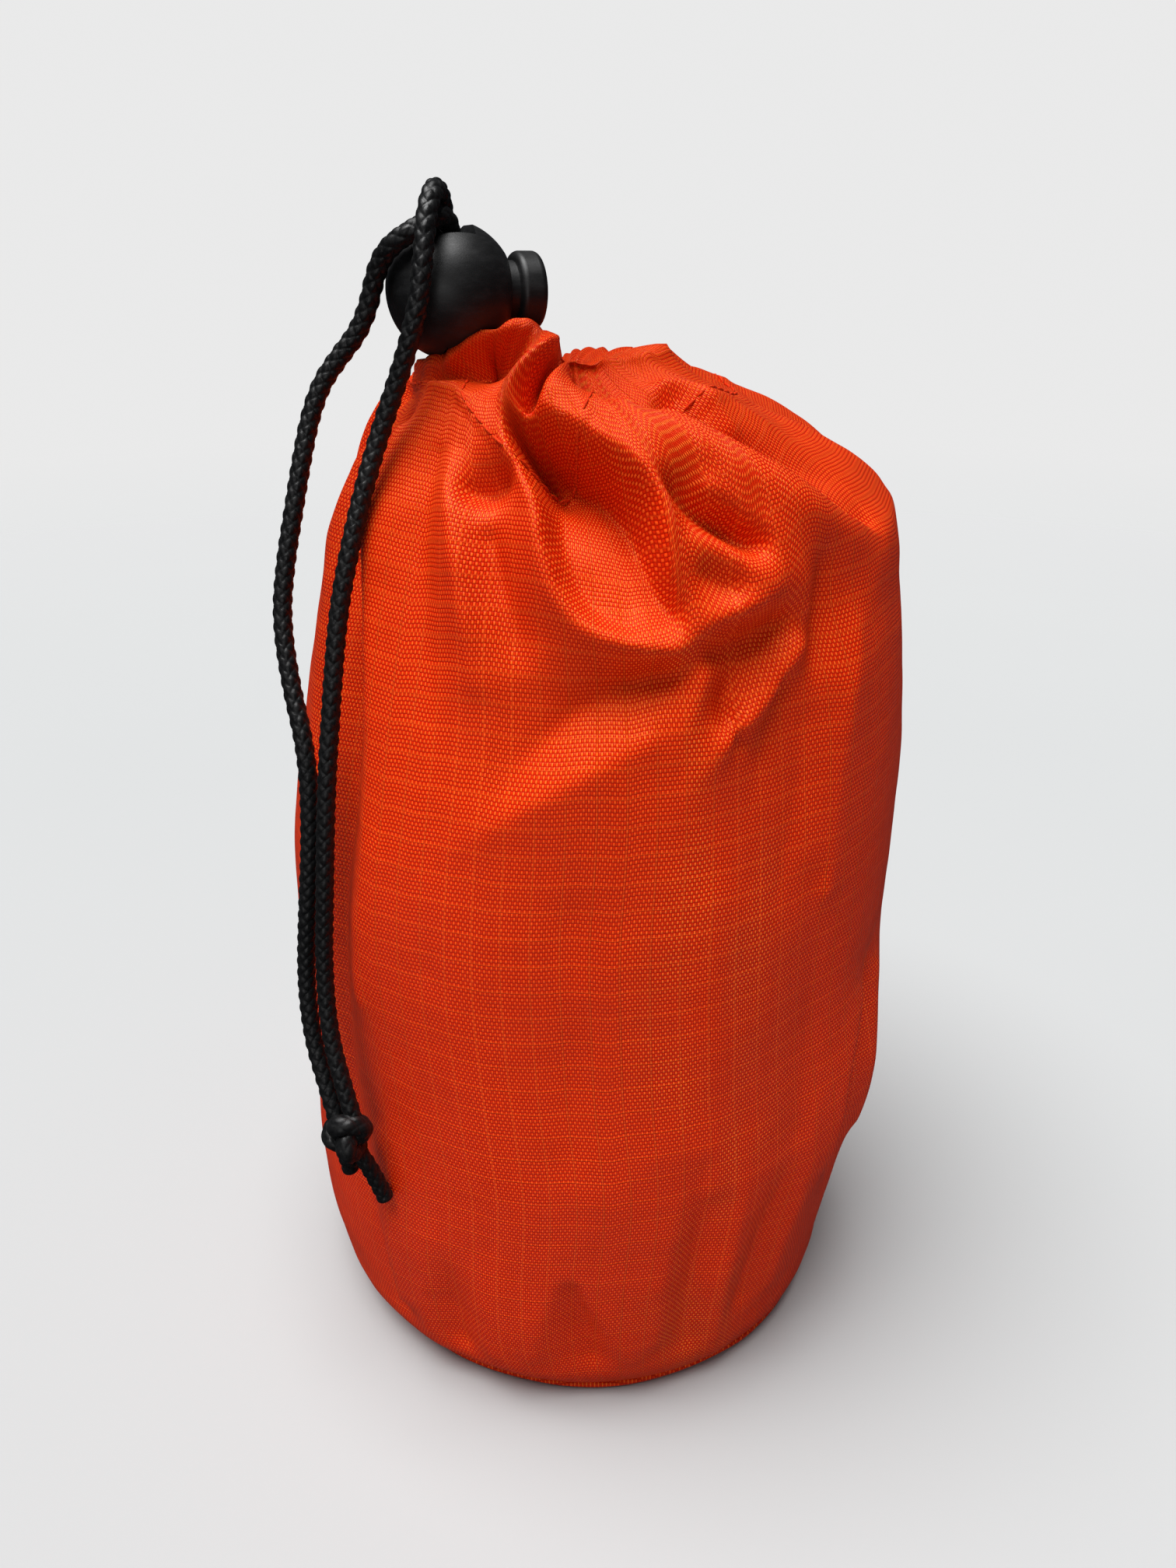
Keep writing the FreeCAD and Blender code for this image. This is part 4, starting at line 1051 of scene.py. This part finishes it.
def make_load(station, places):
    """What is packed: it fills the sack just inside the cloth, up to the empty space under the mouth."""
    rows = np.arange(LOAD_FIRST_ROW, np.searchsorted(station, LOAD_TOP), LOAD_STEP)
    inside = (places - normals_of(places) * LOAD_GAP)[rows][:, ::LOAD_STEP]
    middle = inside.mean(axis=1)
    shell = np.vstack([inside.reshape(-1, 3), middle[:1], middle[-1:] + (0.0, 0.0, LOAD_CROWN)])
    piece = mesh_piece("packed_load", shell * MM, capped_faces(*inside.shape[:2]), LOAD)
    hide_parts("packed_contents")


# ---- seam edges ----

ALLOWANCE_REACH = 10
ALLOWANCE_TOP = 150.0
BASE_ALLOWANCE_FOOT = 1.5
BASE_ALLOWANCE_TOP = 9.0
ALLOWANCE_GAP = 0.5
ALLOWANCE_THICKNESS = 0.6


def turned_in_edge(name, outer, inner, node, closed):
    """A flat band of cloth between its outer and inner face, given as rows of points across the band."""
    loops = np.concatenate([outer, inner[:, ::-1]], axis=1)
    rows, around = loops.shape[:2]
    shell = loops.reshape(-1, 3)
    if closed:
        faces = grid_faces(rows + 1, around, closed=True) % len(shell)
    else:
        shell = np.vstack([shell, loops[0].mean(axis=0), loops[-1].mean(axis=0)])
        faces = capped_faces(rows, around)
    piece = mesh_piece(name, shell * MM, faces, CLOTH, "sack", shell[:, [0, 2]] * MM)
    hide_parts(node)


def make_allowances(station, places):
    """The edges of the panels, turned in along the two side seams and round the base."""
    outward = normals_of(places)
    outer = places - outward * ALLOWANCE_GAP
    inner = outer - outward * ALLOWANCE_THICKNESS
    foot, top, end = np.searchsorted(station, (BASE_ALLOWANCE_FOOT, BASE_ALLOWANCE_TOP, ALLOWANCE_TOP))
    rings = [face[foot:top].transpose(1, 0, 2) for face in (outer, inner)]
    turned_in_edge("base_seam_edge", *rings, "base_seam_allowance", True)
    for side, azimuth in (("left", LEFT_SEAM), ("right", RIGHT_SEAM)):
        columns = (column_of(azimuth) + np.arange(-ALLOWANCE_REACH, ALLOWANCE_REACH + 1)) % COLUMNS
        strips = [face[top + 1 : end][:, columns] for face in (outer, inner)]
        turned_in_edge(f"{side}_seam_edge", *strips, f"{side}_seam_allowance", False)


# ---- base ----

# The base's rings in millimetres: distance from the centre and height
BASE_PROFILE = [
    (20.0, 0.30), (38.0, 0.15), (43.5, 0.05), (45.4, 0.12), (46.4, 0.55),
    (46.75, 1.15), (46.5, 1.7), (45.8, 2.0), (44.8, 2.0),
]
BASE_CENTRE = (0.0, 0.0, 0.35)
BASE_POINTS = 200
RIM_WAVE, RIM_WAVES, WAVY_BEYOND = 0.0035, 9, 40
EDGE_BUMP, EDGE_BUMPS, BUMPY_ABOVE = 0.10, 23, 1.0


def make_base():
    """The round base: flat cloth whose seam allowance makes a small rounded lip round the foot."""
    angles = np.arange(BASE_POINTS) * 2 * np.pi / BASE_POINTS
    rows = []
    for radius, height in BASE_PROFILE:
        reach = radius * (1.0 + RIM_WAVE * np.sin(RIM_WAVES * angles + radius) * (radius > WAVY_BEYOND))
        rise = height + EDGE_BUMP * np.sin(EDGE_BUMPS * angles) * (height > BUMPY_ABOVE)
        rows.append(np.column_stack([reach * np.cos(angles), reach * np.sin(angles), rise]))
    shell = np.vstack([*rows, [BASE_CENTRE]])
    middle = fan_faces(range(BASE_POINTS), len(shell) - 1, turned=True)
    faces = [*grid_faces(len(rows), BASE_POINTS, closed=True), *middle]
    piece = mesh_piece("base_cloth", shell * MM, faces, CLOTH, "sack", shell[:, :2] * MM)
    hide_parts("base_panel")


# ---- the lock's spring ----

PRESS_WAY = np.array((-0.9265, -0.3762, 0.0))
SPRING_RADIUS = 2.2 * MM
SPRING_WIRE_RADIUS = 0.17 * MM
SPRING_LENGTH = 5.1 * MM
SPRING_TURNS = 4.0
SPRING_STEPS = 240
WIRE_POINTS = 12


def make_spring():
    """The coil spring between ball and button, which on the real lock shortens as the button is pressed; here
    it is built at one length.
    """
    low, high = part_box("lock_spring")
    middle = np.array((low + high) / 2)
    sideways, upright = np.cross(PRESS_WAY, (0.0, 0.0, 1.0)), np.array((0.0, 0.0, 1.0))
    share = np.linspace(0.0, 1.0, SPRING_STEPS)
    turn = 2.0 * np.pi * SPRING_TURNS * share
    along = (0.5 - share) * SPRING_LENGTH
    line = middle + np.outer(along, PRESS_WAY)
    line = line + SPRING_RADIUS * (np.outer(np.cos(turn), sideways) + np.outer(np.sin(turn), upright))
    around = 2.0 * np.pi * np.arange(WIRE_POINTS) / WIRE_POINTS
    shell = (line[:, None] + ring_out(*frames_along(line), around) * SPRING_WIRE_RADIUS).reshape(-1, 3)
    faces = capped_faces(SPRING_STEPS, WIRE_POINTS)
    spring = mesh_piece("coil_spring", np.vstack([shell, line[[0, -1]]]), faces, STEEL, "lock")
    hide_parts("lock_spring")
    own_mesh(spring)


# ---- CAD pieces that keep their shape ----

FINISHES = {
    "lock_barrel": PLASTIC, "lock_plunger": PLASTIC, "drawcord": CORD,
    "gap_bartack_front": THREAD, "gap_bartack_back": THREAD,
}


def dress_nodes():
    """Each CAD piece that shows as it is gets its finished material."""
    for node, material in FINISHES.items():
        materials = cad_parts[node].data.materials
        materials.clear()
        materials.append(material)


# ---- stage and light ----

BACKGROUND = (0.82, 0.82, 0.82, 1.0)
AMBIENT = (0.18, 0.183, 0.19, 1.0)
DARK_STUDIO = (0.02, 0.022, 0.026, 1.0)
OVERHEAD_PLACE, OVERHEAD_STRENGTH, OVERHEAD_SPREAD = (-0.22, -0.17, 1.20), 5.8, math.radians(46)
FRONT_PLACE, FRONT_STRENGTH, FRONT_SPREAD = (-0.15, -1.0, 0.08), 0.5, math.radians(35)
FLOOR_COLOURS = (0.381, 0.387, 0.388, 1.0), (0.391, 0.397, 0.398, 1.0)
FLOOR_REACH = 3.0
FLOOR_FADE_START = 0.35
FLOOR_FADE_END = 1.3


def make_stage():
    """A pale plain floor, which fades into the background well behind the sack."""
    shader = Shader("pale_floor")
    colour = shader.mixed(shader.noise(shader.place(), 6.0, 3.0), *FLOOR_COLOURS)
    far = shader.node("VectorMath", {0: shader.place()}, operation="LENGTH").outputs["Value"]
    fading = shader.spread(far, FLOOR_FADE_START, FLOOR_FADE_END, 1.0, 0.0)
    pale = shader.finish(Base_Color=colour, Roughness=0.9, Specular_IOR_Level=0.0, Alpha=fading)
    corners = [(x * FLOOR_REACH, y * FLOOR_REACH, 0) for x, y in ((-1, -1), (1, -1), (1, 1), (-1, 1))]
    floor = mesh_piece("floor", corners, [(0, 1, 2, 3)], pale, None)
    floor.visible_glossy = False
    floor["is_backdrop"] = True


def make_world():
    """The studio: pale to the camera, dark in reflections, and an even light on everything."""
    shader = Shader("studio", "worlds")
    rays = shader.node("LightPath").outputs
    shade = shader.mixed(rays["Is Camera Ray"], AMBIENT, BACKGROUND)
    shade = shader.mixed(rays["Is Glossy Ray"], shade, DARK_STUDIO)
    shader.fill(shader.tree.nodes["Background"], {"Color": shade, "Strength": 1.0})
    bpy.context.scene.world = shader.made


def make_softbox(name, place, strength, spread):
    """A soft distant lamp that shines on the sack from a place."""
    lamp = bpy.data.objects.new(name, bpy.data.lights.new(name, "SUN"))
    lamp.data.energy = strength
    lamp.data.angle = spread
    lamp.rotation_euler = Vector(place).to_track_quat("Z", "Y").to_euler()
    bpy.context.collection.objects.link(lamp)


make_camera()
make_cords()
AZIMUTHS, STATIONS, PLACES = make_sack()
make_stitches(AZIMUTHS, STATIONS, PLACES)
make_load(STATIONS, PLACES)
make_allowances(STATIONS, PLACES)
make_base()
make_spring()
dress_nodes()
make_stage()
make_world()
make_softbox("overhead_softbox", OVERHEAD_PLACE, OVERHEAD_STRENGTH, OVERHEAD_SPREAD)
make_softbox("front_softbox", FRONT_PLACE, FRONT_STRENGTH, FRONT_SPREAD)
bpy.context.scene.view_settings.view_transform = "Standard"

boxes = {"cad": CAD_BOX, "visual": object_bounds()}
{name: [[float(x) for x in corner] for corner in box] for name, box in boxes.items()}
